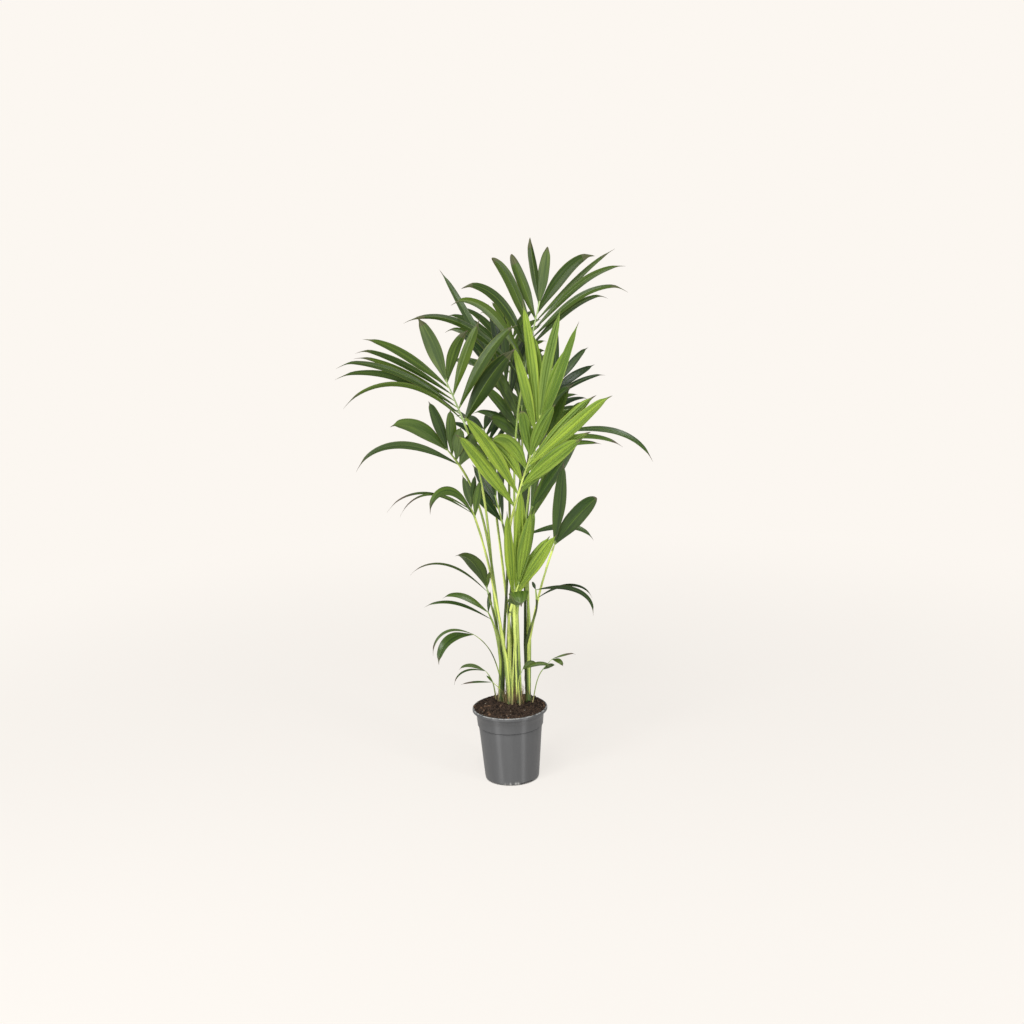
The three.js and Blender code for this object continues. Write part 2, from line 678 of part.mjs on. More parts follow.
for (const leaf of LEAVES) {
  const rib = ribCurve(leaf);
  for (const [side, fan] of [[1, leaf.left], [-1, leaf.right]]) {
    for (let number = 0; number < fan.count; number += 1) {
      const settled = settledLeaflet(leaf, rib, side, number);
      if (!settled) continue;
      const whole = leafletSolid(settled, 0, 0);
      leaf.parts.push(whole);
      place(whole, leaf, leafletSolid(settled, LEAFLET.freeFrom, 0));
    }
  }
  palm.add(meshOf(`frond_${leaf.name}`, outerBody(wasm.Manifold.union(leaf.parts)), leaf.colour, 0.45));
}

export default palm;
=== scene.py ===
"""The finished kentia palm in its nursery pot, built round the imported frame.

The frame is in metres, +Z up, with the origin under the middle of the pot and the front towards -Y.
Sizes taken over from the frame's own source are written in millimetres.
"""

import math

import bmesh
import bpy
import numpy as np
from bpy.props import FloatProperty, FloatVectorProperty, IntProperty, PointerProperty
from mathutils import Matrix, Quaternion, Vector, noise


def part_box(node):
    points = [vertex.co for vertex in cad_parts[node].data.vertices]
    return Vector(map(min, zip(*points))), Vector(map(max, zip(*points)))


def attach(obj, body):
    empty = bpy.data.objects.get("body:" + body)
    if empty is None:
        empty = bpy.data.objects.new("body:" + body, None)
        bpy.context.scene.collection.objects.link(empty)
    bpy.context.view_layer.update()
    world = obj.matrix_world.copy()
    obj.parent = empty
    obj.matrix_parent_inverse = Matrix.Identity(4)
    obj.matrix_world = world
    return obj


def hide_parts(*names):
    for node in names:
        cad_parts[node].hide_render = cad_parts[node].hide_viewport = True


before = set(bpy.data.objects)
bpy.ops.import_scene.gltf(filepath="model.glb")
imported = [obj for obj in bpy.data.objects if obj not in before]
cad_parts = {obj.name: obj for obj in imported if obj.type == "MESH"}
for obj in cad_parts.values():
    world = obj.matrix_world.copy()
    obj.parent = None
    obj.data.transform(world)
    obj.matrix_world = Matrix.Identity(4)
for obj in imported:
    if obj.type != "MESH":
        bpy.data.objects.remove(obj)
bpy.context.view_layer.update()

bl_info = {
    "name": "Kentia palm",
    "version": (1, 0, 0),
    "blender": (4, 5, 0),
    "location": "View3D > Sidebar > Palm",
    "description": "Builds a kentia palm with its nursery pot, piece by piece",
    "category": "Add Mesh",
}

BODY = "root"
MM = 0.001
UP = Vector((0, 0, 1))


def millimetres(length):
    """A length in metres as millimetres."""
    return length / MM


# The far corners of the frame's pot and soil, in millimetres.
POT_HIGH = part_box("pot")[1] * (1 / MM)
SOIL_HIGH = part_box("soil")[1] * (1 / MM)

# ---- The rule the frame's leaves grow by, in millimetres ----

GAP = 0.3

# Each stem: its foot and fork in plan, its height above the soil and its radius.
STEMS = {
    "a": dict(foot=(-24, 30), fork=(-17, 28), height=115, radius=8.6),
    "b": dict(foot=(3, 10), fork=(-3, 6), height=130, radius=9.0),
    "c": dict(foot=(27, 4), fork=(25, 2), height=260, radius=7.6),
    "d": dict(foot=(52, 24), fork=(55, 20), height=165, radius=6.8),
    "e": dict(foot=(11, 50), fork=(16, 54), height=150, radius=9.5),
}
STEM_TAPER = 1.5  # how much thicker a stem is at its foot than at its fork
STEM_FLARE = 2.4  # how much it widens further right at the soil
FLARE_HEIGHT = 9.0

# Radii of a stalk that stands on a stem, and of one that grows straight from the soil.
STALK_FOOT, STALK_TIP = 3.6, 2.7
SEEDLING_FOOT, SEEDLING_TIP = 1.9, 1.2
STALK_LEAN = 0.75  # how far a stalk sets off towards its leaf, not straight up
STALK_RISE, STALK_REACH = 0.4, 0.3  # how long it keeps that direction and the rib's, in spans
RIB_TIP_SHARE = 0.55  # of the radius at a rib's foot, what is left at its crest
RIB_ARCH = 0.1
FIRST_LEAFLET, LAST_LEAFLET = 0.09, 0.97  # shares of the rib
STAGGER = 0.025  # how much lower on the rib the right side's leaflets sit

LEAFLET_STEPS = 24
ROOT_SHARE = 0.16  # of a leaflet's full width, at its root
ROOT_POWER = 1.4
PEAK = 0.5  # where along a leaflet it is widest
TAPER_POWER = 0.75  # of a keen leaflet's outline towards its tip
BLUNT_POWER, BLUNT_ROUND = 3.2, 0.6  # of a blunt one's
BEND_POWER = 1.2  # the higher, the nearer its tip a leaflet bends down
BLADE_LIFT = (26, 8)  # degrees out of the blade, at the heart and at the crest
WOBBLE = dict(angle=3, lift=12, length=0.05, droop=0.15, twist=16)
SEEDS_PER_LEAF = 40
LEFT_SEEDS, RIGHT_SEEDS = 40, 60  # where the seeds of each side's leaflets start
SAME_PLACE = 1.0  # how near a leaflet's tip has to be to one of the frame's, in millimetres

# Turns a leaflet may have taken to hang free: swing along the rib, and lift out of the blade.
TURNS = (
    (0, 0), (0, 8), (0, -8), (5, 0), (-5, 0), (5, 10), (-5, -10), (-5, 10), (5, -10),
    (10, 0), (-10, 0), (0, 18), (0, -18), (10, 16), (-10, -16),
)


def fan(count, angle, length, droop, width, lift=BLADE_LIFT, first=FIRST_LEAFLET, bend=(BEND_POWER,),
        blunt=(0,), dry=0.0):
    """The leaflets on one side of a rib; each list runs from the heart of the leaf to its crest."""
    return dict(count=count, angle=angle, length=length, droop=droop, width=width, lift=lift,
                first=first, bend=bend, blunt=blunt, dry=dry)


def leaf(name, rises, heart, crest, faces, shade, left, right, arch=RIB_ARCH):
    """One leaf. It rises from a stem, by its letter, or from a spot of soil."""
    return dict(name=name, rises=rises, heart=Vector(heart), crest=Vector(crest), faces=faces,
                shade=shade, left=left, right=right, arch=arch)


LEAVES = [
    leaf("crown", "c", (62, 20, 1092), (118, 30, 1322), (-72, 12), "old",
         fan(6, (48, 38, 40, 37, 35, 23), (408, 292, 278, 245, 188, 176),
             (68, 80, 72, 34, -2, -8), (21, 27, 28, 29, 28, 26), lift=(8, 0), bend=(1, 2.6, 2.6),
             blunt=(0, 0, 0.3, 1, 1, 0.6)),
         fan(6, (33, 35, 30, 30, 20, -7), (264, 320, 308, 288, 222, 152),
             (44, 56, 48, 16, 46, 6), (18, 17, 20, 15, 34, 31), lift=(-4, 0), first=0.5, bend=(1.8,),
             blunt=(0, 0, 0, 0, 0.2, 0.7))),
    leaf("upper_left", "b", (32, 105, 1055), (8, 112, 1130), (-118, 12), "deep",
         fan(3, (24, 10), (180, 200, 325), (24, 4), (26, 26)),
         fan(3, (34, 16), (220, 200), (30, 10), (28, 30))),
    leaf("big_left", "a", (-91, -40, 1006), (-136, -60, 1128), (-108, 12), "old",
         fan(7, (24, 33, 29, 33, 30, 24, -7), (375, 355, 352, 307, 272, 258, 188),
             (95, 44, 34, 26, 30, 36, 16), (14, 19, 18, 16, 18, 23, 40), bend=(0.6, 1.2, 1.2)),
         fan(4, (50, 48, 42, 32), (236, 284, 228, 158),
             (20, 32, 10, 40), (48, 30, 28, 30), lift=(-12, 0))),
    leaf("left_mid", "b", (-105, -120, 908), (-136, -150, 958), (-112, 20), "deep",
         fan(2, (22, 6), (340, 208), (72, 56), (21, 38)),
         fan(4, (48, 40, 32, 17), (150, 160, 165, 180),
             (5, 5, 10, 10), (40, 34, 28, 28), lift=(26, -14))),
    leaf("front", "c", (28, -130, 785), (78, -190, 943), (-80, 20), "fresh",
         fan(5, (43, 41, 36, 36, 28), (292, 290, 176, 158, 126),
             (10, 10, 50, 72, 8), (36, 36, 36, 38, 31), lift=(0, 0), blunt=(0, 0, 0.5, 1, 1)),
         fan(5, (22, 24, 15, 23, 0), (285, 236, 300, 298, 166),
             (12, 16, 10, 8, 12), (38, 40, 32, 34, 38), lift=(8, 0), first=0.3, blunt=(0.3, 0))),
    leaf("spear", "c", (96, -20, 958), (109, -20, 1024), (-115, 12), "fresh",
         fan(3, (18, 13, 14), (270, 338, 222), (6, 4), (28, 32)),
         fan(3, (13, 0, 0), (342, 336, 200), (6, 4), (28, 30), lift=(0, 0))),
    leaf("right_back", "d", (121, 120, 1022), (157, 140, 1088), (-60, 12), "deep",
         fan(3, (60, 30), (200, 160), (30, 15), (28, 26)),
         fan(3, (31, 22, 7), (188, 158, 146), (24, 12), (14, 25, 22), first=0.35)),
    leaf("right_arch", "d", (102, 40, 922), (152, 30, 971), (-90, 30), "deep",
         fan(3, (40, 12), (190, 150, 120), (20, 10), (30, 26)),
         fan(3, (36, 36, 34), (198, 250, 300), (24, 44, 84), (16, 14, 17), dry=0.1)),
    leaf("right_pair", "d", (130, -30, 654), (138, -30, 673), (-62, 12), "deep",
         fan(1, (23,), (240,), (4,), (38,)),
         fan(1, (15,), (164,), (14,), (50,), blunt=(1,))),
    leaf("inner", "b", (20, -128, 547), (36, -138, 592), (-78, 12), "fresh",
         fan(3, (20, 16, 10), (290, 300, 215), (4, 4), (30, 36), lift=(10, 14)),
         fan(3, (13, 4, -10), (200, 205, 232), (4, 4), (38, 26), lift=(-4, 10))),
    leaf("folded", (7, -7), (28, -150, 514), (31, -155, 536), (-90, 20), "deep",
         fan(1, (24,), (48,), (150,), (30,)),
         fan(1, (-6,), (132,), (178,), (52,), bend=(0.6,))),
    leaf("right_low", "d", (84, -30, 520), (82, -36, 550), (-90, 40), "deep",
         fan(1, (10,), (30,), (20,), (9,)),
         fan(2, (60, 78), (182, 200), (102, 120), (10, 15), lift=(10, 0), dry=0.04)),
    leaf("left_pair", "a", (-47, -40, 545), (-51, -44, 562), (-110, 12), "old",
         fan(2, (30, 0), (262, 160), (92, 66), (7, 50), dry=0.1),
         fan(1, (24,), (60,), (10,), (12,))),
    leaf("left_twin", "a", (-42, 40, 446), (-52, 50, 467), (-90, 40), "deep",
         fan(2, (45, 24), (220, 150), (56, 60), (14, 20)),
         fan(1, (30,), (70,), (30,), (12,))),
    leaf("left_low", (-9, 23), (-72, -40, 414), (-93, -50, 434), (-90, 60), "deep",
         fan(1, (28,), (186,), (98,), (27,)),
         fan(1, (-18,), (182,), (114,), (8,), dry=0.1)),
    leaf("low_left_a", (-38, 38), (-55, 0, 298), (-64, 0, 311), (-90, 50), "deep",
         fan(1, (40,), (125,), (110,), (6,), dry=0.1),
         fan(1, (-18,), (80,), (70,), (11,))),
    leaf("low_left_b", (-15, 14), (-26, -12, 262), (-46, -10, 282), (-90, 60), "deep",
         fan(1, (46,), (118,), (12,), (6,), dry=0.3),
         fan(1, (20,), (28,), (20,), (10,)), arch=0),
    leaf("low_right_a", (28, -11), (32, -26, 304), (40, -26, 322), (-90, 50), "old",
         fan(1, (-14,), (48,), (80,), (15,)),
         fan(1, (36,), (98,), (58,), (12,))),
    leaf("low_right_b", (64, 8), (94, 8, 305), (124, 8, 338), (-90, 50), "old",
         fan(1, (-26,), (68,), (24,), (6,), dry=0.3),
         fan(2, (14, 56), (38, 46), (40, 70), (12, 14))),
    leaf("centre_left", "a", (-2, 60, 715), (-20, 80, 790), (-130, 12), "deep",
         fan(3, (22, 8), (150, 160), (8, 4), (32, 32)),
         fan(3, (30, 10), (200, 160), (8, 4), (34, 32))),
    leaf("spider", "b", (-73, -110, 769), (-82, -120, 798), (-90, 30), "deep",
         fan(4, (8, 30, 27, -10), (225, 305, 270, 100), (165, 86, 88, 4), (24, 7, 7, 20), dry=0.2),
         fan(2, (24, 28), (110, 100), (4, 4), (20, 18))),
    leaf("under_right", "e", (55, 53, 676), (79, 65, 756), (-65, 12), "deep",
         fan(3, (30, 8), (200, 230), (8, 4), (34, 34)),
         fan(4, (57, 6, 8, 8), (226, 275, 285, 250), (72, 30, 12, 6), (18, 40, 38, 34), lift=(0, 8))),
    leaf("centre", "e", (60, 100, 935), (62, 108, 1035), (-60, 12), "deep",
         fan(5, (62, 10), (190, 250, 200), (20, 6), (42, 34)),
         fan(5, (56, 10), (190, 220, 200), (20, 6), (34, 34))),
    leaf("back_high", "e", (30, 170, 1080), (45, 290, 1220), (-90, 45), "old",
         fan(6, (56, 20), (200, 270, 200), (60, 40), (28, 30, 28)),
         fan(6, (50, 16), (110, 150, 165), (60, 40), (28, 30, 28)), arch=0.3),
    leaf("back_left", "e", (-34, 205, 860), (-50, 335, 950), (-80, 55), "deep",
         fan(5, (34, 18), (150, 200, 170), (60, 40), (28, 30, 28)),
         fan(5, (50, 20), (220, 260, 190), (60, 40), (28, 30, 28)), arch=0.3),
    leaf("back_right", "d", (80, 190, 900), (110, 320, 1000), (-100, 55), "deep",
         fan(5, (50, 20), (220, 270, 190), (60, 40), (28, 30, 28)),
         fan(5, (44, 20), (190, 240, 190), (60, 40), (28, 30, 28)), arch=0.3),
]


SEED_STEP, SALT_STEP, WAVE_HEIGHT = 12.9898, 78.233, 43758.5453


def wobble(seed, salt):
    """A repeatable number between -1 and 1."""
    wave = math.sin(seed * SEED_STEP + salt * SALT_STEP) * WAVE_HEIGHT
    return 2 * (wave - math.floor(wave)) - 1


def smoothstep(low, high, value):
    """0 at low, 1 at high, and a smooth rise between."""
    share = max(0.0, min(1.0, (value - low) / (high - low)))
    return share * share * (3 - 2 * share)


def along(values, share):
    """The value at a share of the way along a list of evenly spaced values."""
    if len(values) == 1:
        return values[0]
    place = share * (len(values) - 1)
    k = min(int(place), len(values) - 2)
    return values[k] + (values[k + 1] - values[k]) * (place - k)


def bearings(count):
    """Evenly spaced angles round a full turn."""
    return [2 * math.pi * k / count for k in range(count)]


def on_circle(radius, bearing):
    """The x and y of a point on a circle round the origin."""
    return radius * math.cos(bearing), radius * math.sin(bearing)


def seats_of(key):
    """Where a stem's stalks stand, dealt evenly round its top in the order of their bearings."""
    stem = STEMS[key]
    fork = Vector((*stem["fork"], 0))

    def bearing(one):
        away = one["heart"] - fork
        return math.atan2(away.y, away.x)

    own = sorted((one for one in LEAVES if one["rises"] == key), key=bearing)
    step = 2 * math.pi / len(own)
    start = sum(bearing(one) - k * step for k, one in enumerate(own)) / len(own)
    spread = 0 if len(own) == 1 else (STALK_FOOT + GAP) / math.sin(math.pi / len(own))
    height = SOIL_HIGH.z + 2 * GAP + stem["height"]
    seats = {}
    for k, one in enumerate(own):
        turn = start + k * step
        seats[one["name"]] = fork + Vector((*on_circle(spread, turn), height))
    return seats


def aim_of(one):
    """The direction in which a leaf's rib sets off from its heart."""
    run = one["crest"] - one["heart"]
    return (run + UP * (one["arch"] * run.length)).normalized()


def bezier(points, share):
    """A point of the Bezier curve over any number of control points."""
    while len(points) > 1:
        points = [a.lerp(b, share) for a, b in zip(points, points[1:])]
    return points[0]


def stalk_controls(one, seat):
    """Control points of a stalk's curve from its seat to the leaf's heart."""
    heart = one["heart"]
    span = (heart - seat).length
    start = (heart - seat).normalized().lerp(UP, 1 - STALK_LEAN).normalized()
    return [seat, seat + start * (STALK_RISE * span), heart - aim_of(one) * (STALK_REACH * span), heart]


def rib_controls(one):
    """Control points of a rib's curve from the leaf's heart to its crest."""
    aim = aim_of(one)
    foot = one["heart"] + aim * GAP
    crest = one["crest"]
    return [foot, foot + aim * (0.5 * (foot - crest).length), crest]


def rib_tangent(controls, share):
    foot, middle, crest = controls
    return ((middle - foot) * (1 - share) + (crest - middle) * share).normalized()


def blade_normal(one, tangent):
    """The direction a leaf's blade faces, square to its rib."""
    bearing, elevation = (math.radians(angle) for angle in one["faces"])
    normal = Vector((math.cos(bearing), math.sin(bearing), math.tan(elevation)))
    return (normal - tangent * normal.dot(tangent)).normalized()


def width_share(share, blunt=0):
    """A leaflet's width along its length, as a share of its full width."""
    if share < PEAK:
        return ROOT_SHARE + (1 - ROOT_SHARE) * math.sin(math.pi / 2 * share / PEAK) ** ROOT_POWER
    left = (share - PEAK) / (1 - PEAK)
    keen_share = max(0.0, math.cos(math.pi / 2 * left)) ** TAPER_POWER
    blunt_share = max(0.0, 1 - left ** BLUNT_POWER) ** BLUNT_ROUND
    return keen_share + (blunt_share - keen_share) * blunt


def leaflet(one, side, number, turn):
    """A leaflet's midrib in even steps, each a place, a direction and the way its width runs."""
    own = one["left"] if side > 0 else one["right"]
    share = 1 if own["count"] == 1 else number / (own["count"] - 1)
    seed = LEAVES.index(one) * SEEDS_PER_LEAF + (LEFT_SEEDS if side > 0 else RIGHT_SEEDS) + number
    angle = math.radians(along(own["angle"], share) + WOBBLE["angle"] * wobble(seed, 1) + turn[0])
    lift = math.radians(along(own["lift"], share) + WOBBLE["lift"] * wobble(seed, 2) + turn[1])
    length = along(own["length"], share) * (1 + WOBBLE["length"] * wobble(seed, 3))
    droop = math.radians(along(own["droop"], share) * (1 + WOBBLE["droop"] * wobble(seed, 4)))
    twist = math.radians(WOBBLE["twist"] * wobble(seed, 5))
    spot = own["first"] + (LAST_LEAFLET - own["first"]) * share - (STAGGER if side < 0 else 0)

    controls = rib_controls(one)
    tangent = rib_tangent(controls, spot)
    normal = blade_normal(one, tangent)
    outward = normal.cross(tangent) * side
    direction = tangent * math.cos(angle) + outward * (math.sin(angle) * math.cos(lift))
    direction = (direction + normal * (math.sin(angle) * math.sin(lift))).normalized()
    across = (tangent - direction * tangent.dot(direction)).normalized()
    across.rotate(Quaternion(direction, twist))

    power = along(own["bend"], share)
    weights = [(k + 0.5) ** power for k in range(LEAFLET_STEPS)]
    whole = sum(weights)
    point = bezier(controls, spot)
    spine = [(point.copy(), direction.copy(), across.copy())]
    for weight in weights:
        axis = Vector((-direction.y, direction.x, 0))
        fall = math.acos(max(-1.0, min(1.0, -direction.z)))
        if axis.length_squared > 1e-8:
            bend = Quaternion(axis.normalized(), min(droop * weight / whole, fall * 0.5))
            direction.rotate(bend)
            across.rotate(bend)
        point = point + direction * (length / LEAFLET_STEPS)
        spine.append((point.copy(), direction.copy(), across.copy()))
    return dict(spine=spine, length=length, width=along(own["width"], share), side=side, seed=seed,
                blunt=along(own["blunt"], share), dry=own["dry"])


def settled_leaflets(one):
    """The leaflets that the frame's own frond has, each turned as it is there."""
    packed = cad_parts[f"frond_{one['name']}"].data.vertices
    corners = np.array([vertex.co for vertex in packed]) / MM

    def miss(each):
        tip = each["spine"][-1][0]
        return np.linalg.norm(corners - np.array(tip), axis=1).min()

    found = []
    for side, own in ((1, one["left"]), (-1, one["right"])):
        for number in range(own["count"]):
            tries = [leaflet(one, side, number, turn) for turn in TURNS]
            misses = [miss(each) for each in tries]
            best = int(np.argmin(misses))
            if misses[best] < SAME_PLACE:
                found.append(tries[best])
    return found


# ---- Meshes and node trees ----


def new_object(name, data):
    """Puts a mesh, a lamp or a camera into the scene."""
    piece = bpy.data.objects.new(name, data)
    bpy.context.scene.collection.objects.link(piece)
    return piece


def mesh_of(name, points, faces, edges=()):
    """A mesh from points in millimetres."""
    mesh = bpy.data.meshes.new(name)
    mesh.from_pydata([tuple(Vector(point) * MM) for point in points], list(edges), list(faces))
    mesh.update()
    return mesh


def give_attribute(mesh, name, values, kind="FLOAT"):
    """Stores a value for each point of the mesh."""
    layer = mesh.attributes.new(name, kind, "POINT")
    field = "vector" if kind == "FLOAT_VECTOR" else "value"
    layer.data.foreach_set(field, np.array(values, np.float32).ravel())


def loft(rings):
    """Points and faces of a closed skin over rings of equal count, capped at both ends."""
    sides = len(rings[0])
    points = [point for ring in rings for point in ring]
    faces = [tuple(range(sides - 1, -1, -1))]
    for r in range(len(rings) - 1):
        for k in range(sides):
            low, high = r * sides, (r + 1) * sides
            after = (k + 1) % sides
            faces.append((low + k, low + after, high + after, high + k))
    last = (len(rings) - 1) * sides
    faces.append(tuple(last + k for k in range(sides)))
    return points, faces


def smooth(mesh, sharp_above):
    """Smooth shading that keeps edges sharper than the angle, in degrees."""
    mesh.shade_smooth()
    mesh.set_sharp_from_angle(angle=math.radians(sharp_above))


def plug(tree, value, socket):
    """Links a live value to a socket, or gives the socket a plain one."""
    if isinstance(value, bpy.types.NodeSocket):
        tree.links.new(value, socket)
    elif value is not None:
        socket.default_value = value


def fill(tree, node, values):
    """Plugs values into a node's inputs by the inputs' labels."""
    for label, value in values.items():
        plug(tree, value, node.inputs[label])


def put(tree, kind, *values, **settings):
    """Adds a node with its fields set and its live inputs filled or linked in order.

    Gives the node's first live output.
    """
    node = tree.nodes.new(kind)
    for field, value in settings.items():
        setattr(node, field, value)
    live = [socket for socket in node.inputs if socket.enabled]
    for socket, value in zip(live, values):
        plug(tree, value, socket)
    outputs = [socket for socket in node.outputs if socket.enabled]
    return outputs[0] if outputs else node


def maths(tree, operation, *values):
    """The output of a node that works on numbers."""
    return put(tree, "ShaderNodeMath", *values, operation=operation)


def product(tree, first, *others):
    """Numbers multiplied with each other in a tree."""
    for other in others:
        first = maths(tree, "MULTIPLY", first, other)
    return first


def vectors(tree, operation, *values):
    """The output of a node that works on vectors."""
    return put(tree, "ShaderNodeVectorMath", *values, operation=operation)


def length_of(tree, vector):
    return vectors(tree, "LENGTH", vector).node.outputs["Value"]


def height_of(tree, place):
    return put(tree, "ShaderNodeSeparateXYZ", place).node.outputs["Z"]


def spread(tree, value, low, high):
    """A number from 0 to 1 as one from low to high."""
    return put(tree, "ShaderNodeMapRange", value, 0.0, 1.0, low, high)


def compared(tree, operation, one, other):
    return put(tree, "FunctionNodeCompare", one, other, operation=operation, data_type="FLOAT")


def both(tree, one, other):
    return put(tree, "FunctionNodeBooleanMath", one, other, operation="AND")


def named(tree, name, kind="FLOAT"):
    """Reads a named attribute in a geometry tree."""
    return put(tree, "GeometryNodeInputNamedAttribute", name, data_type=kind)


def scattered(tree, surface, density, seed):
    """Random points on a surface, with its normals as the node's other output."""
    return put(tree, "GeometryNodeDistributePointsOnFaces", surface, None, density, seed,
               distribute_method="RANDOM")


def chance(tree, low, high, seed):
    """A random number or vector for each point."""
    kind = "FLOAT_VECTOR" if isinstance(low, tuple) else "FLOAT"
    return put(tree, "FunctionNodeRandomValue", low, high, None, seed, data_type=kind)


def rotation(tree, angles):
    return put(tree, "FunctionNodeEulerToRotation", angles)


def painted(tree, geometry, material, where=None):
    """Gives the faces that a test picks, or all of them, a material."""
    return put(tree, "GeometryNodeSetMaterial", geometry, where, material)


def smoothed(tree, geometry, smooth_faces=True):
    return put(tree, "GeometryNodeSetShadeSmooth", geometry, None, smooth_faces)


def new_tree(name, fields):
    """A geometry tree with a geometry input, the labelled inputs given, and a geometry output."""
    tree = bpy.data.node_groups.new(name, "GeometryNodeTree")
    tree.interface.new_socket("Geometry", in_out="INPUT", socket_type="NodeSocketGeometry")
    for label, kind in fields.items():
        tree.interface.new_socket(label, in_out="INPUT", socket_type="NodeSocket" + kind)
    tree.interface.new_socket("Geometry", in_out="OUTPUT", socket_type="NodeSocketGeometry")
    return tree, tree.nodes.new("NodeGroupInput").outputs


def end_tree(tree, geometry):
    """Ends a tree in Realize Instances."""
    whole = put(tree, "GeometryNodeRealizeInstances", geometry)
    put(tree, "NodeGroupOutput", whole)


def grown(name, carrier, tree, values):
    """What a tree makes of the carrier mesh, as a plain mesh object."""
    holder = new_object("carrier", carrier)
    modifier = holder.modifiers.new(tree.name, "NODES")
    modifier.node_group = tree
    for item in tree.interface.items_tree:
        if item.in_out == "INPUT" and item.name in values:
            modifier[item.identifier] = values[item.name]
    bpy.context.view_layer.update()
    shape = bpy.context.evaluated_depsgraph_get()
    mesh = bpy.data.meshes.new_from_object(
        holder.evaluated_get(shape), preserve_all_data_layers=True, depsgraph=shape)
    bpy.data.objects.remove(holder)
    mesh.name = name
    used = {polygon.material_index for polygon in mesh.polygons}
    for k in reversed(range(len(mesh.materials))):
        if k not in used:
            mesh.materials.pop(index=k)
    if not mesh.polygons:
        raise RuntimeError(f"{name}: the tree {tree.name} made no faces")
    return new_object(name, mesh)


def hand_over(piece, slot, *nodes):
    """Joins a finished piece to the frame's body and lets it stand for the frame's nodes."""
    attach(piece, BODY)
    if nodes:
        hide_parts(*nodes)


# ---- Materials ----


def new_material(name, preview):
    """A material with its tree and its skin's shader."""
    material = bpy.data.materials.new(name)
    material.use_nodes = True
    material.diffuse_color = (*preview, 1)
    return material, material.node_tree, material.node_tree.nodes["Principled BSDF"]


def read_attribute(tree, name):
    """A point attribute's number, in a shader."""
    node = tree.nodes.new("ShaderNodeAttribute")
    node.attribute_name = name
    return node.outputs["Fac"]


def object_place(tree, stretch=None):
    """Object coordinates, scaled along each axis where a stretch is given."""
    place = tree.nodes.new("ShaderNodeTexCoord").outputs["Object"]
    return put(tree, "ShaderNodeMapping", place, None, None, stretch) if stretch else place


def noise_of(tree, place, scale, detail=4.0, roughness=0.5):
    return put(tree, "ShaderNodeTexNoise", place, scale, detail, roughness)


def ramp(tree, value, low, high):
    """0 below low, 1 above high, and a smooth rise between."""
    return put(tree, "ShaderNodeMapRange", value, low, high, 0.0, 1.0, interpolation_type="SMOOTHSTEP")


def blend_colours(tree, factor, one, other):
    """The first colour where the factor is 0 and the other where it is 1."""
    colours = [each if isinstance(each, bpy.types.NodeSocket) else (*each, 1) for each in (one, other)]
    return put(tree, "ShaderNodeMix", factor, *colours, data_type="RGBA")


def bump(tree, height, distance, before=None):
    """A bump normal; distance is the relief's height in metres."""
    node = tree.nodes.new("ShaderNodeBump")
    fill(tree, node, {"Height": height, "Distance": distance, "Normal": before})
    return node.outputs["Normal"]


def show_mixed(tree, share, skin, other):
    """Ends a material in a mix of two shaders."""
    mixed = put(tree, "ShaderNodeMixShader", share, skin.outputs[0], other.outputs[0])
    plug(tree, mixed, tree.nodes["Material Output"].inputs["Surface"])


def mix(one, other, share):
    """A colour with a share of another in it."""
    return tuple((1 - share) * part + share * added for part, added in zip(one, other))


def shade(colour, factor):
    """A colour made lighter or darker."""
    return tuple(min(1.0, part * factor) for part in colour)


LEAF_POWERS = (1.25, 1, 0.8)  # how strongly red, green and blue follow a leaf's tone


def leaf_tone(colour, factor):
    """A leaf green made lighter and yellower, or darker and bluer."""
    return tuple(min(1.0, part * factor ** power) for part, power in zip(colour, LEAF_POWERS))


# Scales of a leaf's bands and streaks, partly its own tone and partly painted light and shade of its
# lengthwise folds: across a leaflet, along it, and from one leaflet to the next.
BAND_SCALE = (2.4, 1.2, 31.7)
STREAK_SCALE = (5.5, 1.6, 17.3)
VEINS = 44.0  # phase of the veins over half a leaflet's width, which is seven waves


def leaf_material(name, colour, glow, clear, roughness):
    """Living leaf skin: lengthwise bands and streaks, partly its own tone and partly painted light and shade
    of its folds, faint mottling, satin gloss, and light let through.
    """
    material, tree, skin = new_material(name, colour)
    across = read_attribute(tree, "across")
    blade = put(tree, "ShaderNodeCombineXYZ", across, read_attribute(tree, "along"),
                read_attribute(tree, "tint"))
    streaks = noise_of(tree, vectors(tree, "MULTIPLY", blade, STREAK_SCALE), 1.0, 1.0)
    bands = noise_of(tree, vectors(tree, "MULTIPLY", blade, BAND_SCALE), 1.0, 1.0)
    mottle = noise_of(tree, object_place(tree), 38.0, 2.0)
    # Bands and streaks lighten and darken the blade: partly the leaf's own tone, partly painted light and
    # shade of its lengthwise folds.
    tone = blend_colours(tree, ramp(tree, bands, 0.34, 0.66), leaf_tone(colour, 0.72),
                         leaf_tone(colour, 1.3))
    tone = blend_colours(tree, ramp(tree, streaks, 0.52, 0.76), tone, leaf_tone(colour, 1.4))
    tone = blend_colours(tree, ramp(tree, streaks, 0.46, 0.24), tone, leaf_tone(colour, 0.64))
    tone = blend_colours(tree, spread(tree, mottle, 0.0, 0.36), tone, leaf_tone(colour, 0.72))
    veins = maths(tree, "SINE", product(tree, across, VEINS))
    fill(tree, skin, {"Base Color": tone, "Specular IOR Level": 0.36,
                      "Roughness": spread(tree, mottle, roughness - 0.07, roughness + 0.1),
                      "Normal": bump(tree, bands, 0.0003, bump(tree, veins, 0.00002))})
    through = tree.nodes.new("ShaderNodeBsdfTranslucent")
    fill(tree, through, {"Color": (*glow, 1)})
    show_mixed(tree, clear, skin, through)
    return material


def dry_material(name, colour):
    """Withered leaf: dull, papery and finely creased."""
    material, tree, skin = new_material(name, colour)
    creases = noise_of(tree, object_place(tree, (1, 1, 0.3)), 700.0)
    tone = blend_colours(tree, creases, shade(colour, 0.6), shade(colour, 1.4))
    fill(tree, skin, {"Base Color": tone, "Roughness": 0.8, "Normal": bump(tree, creases, 0.0003)})
    return material


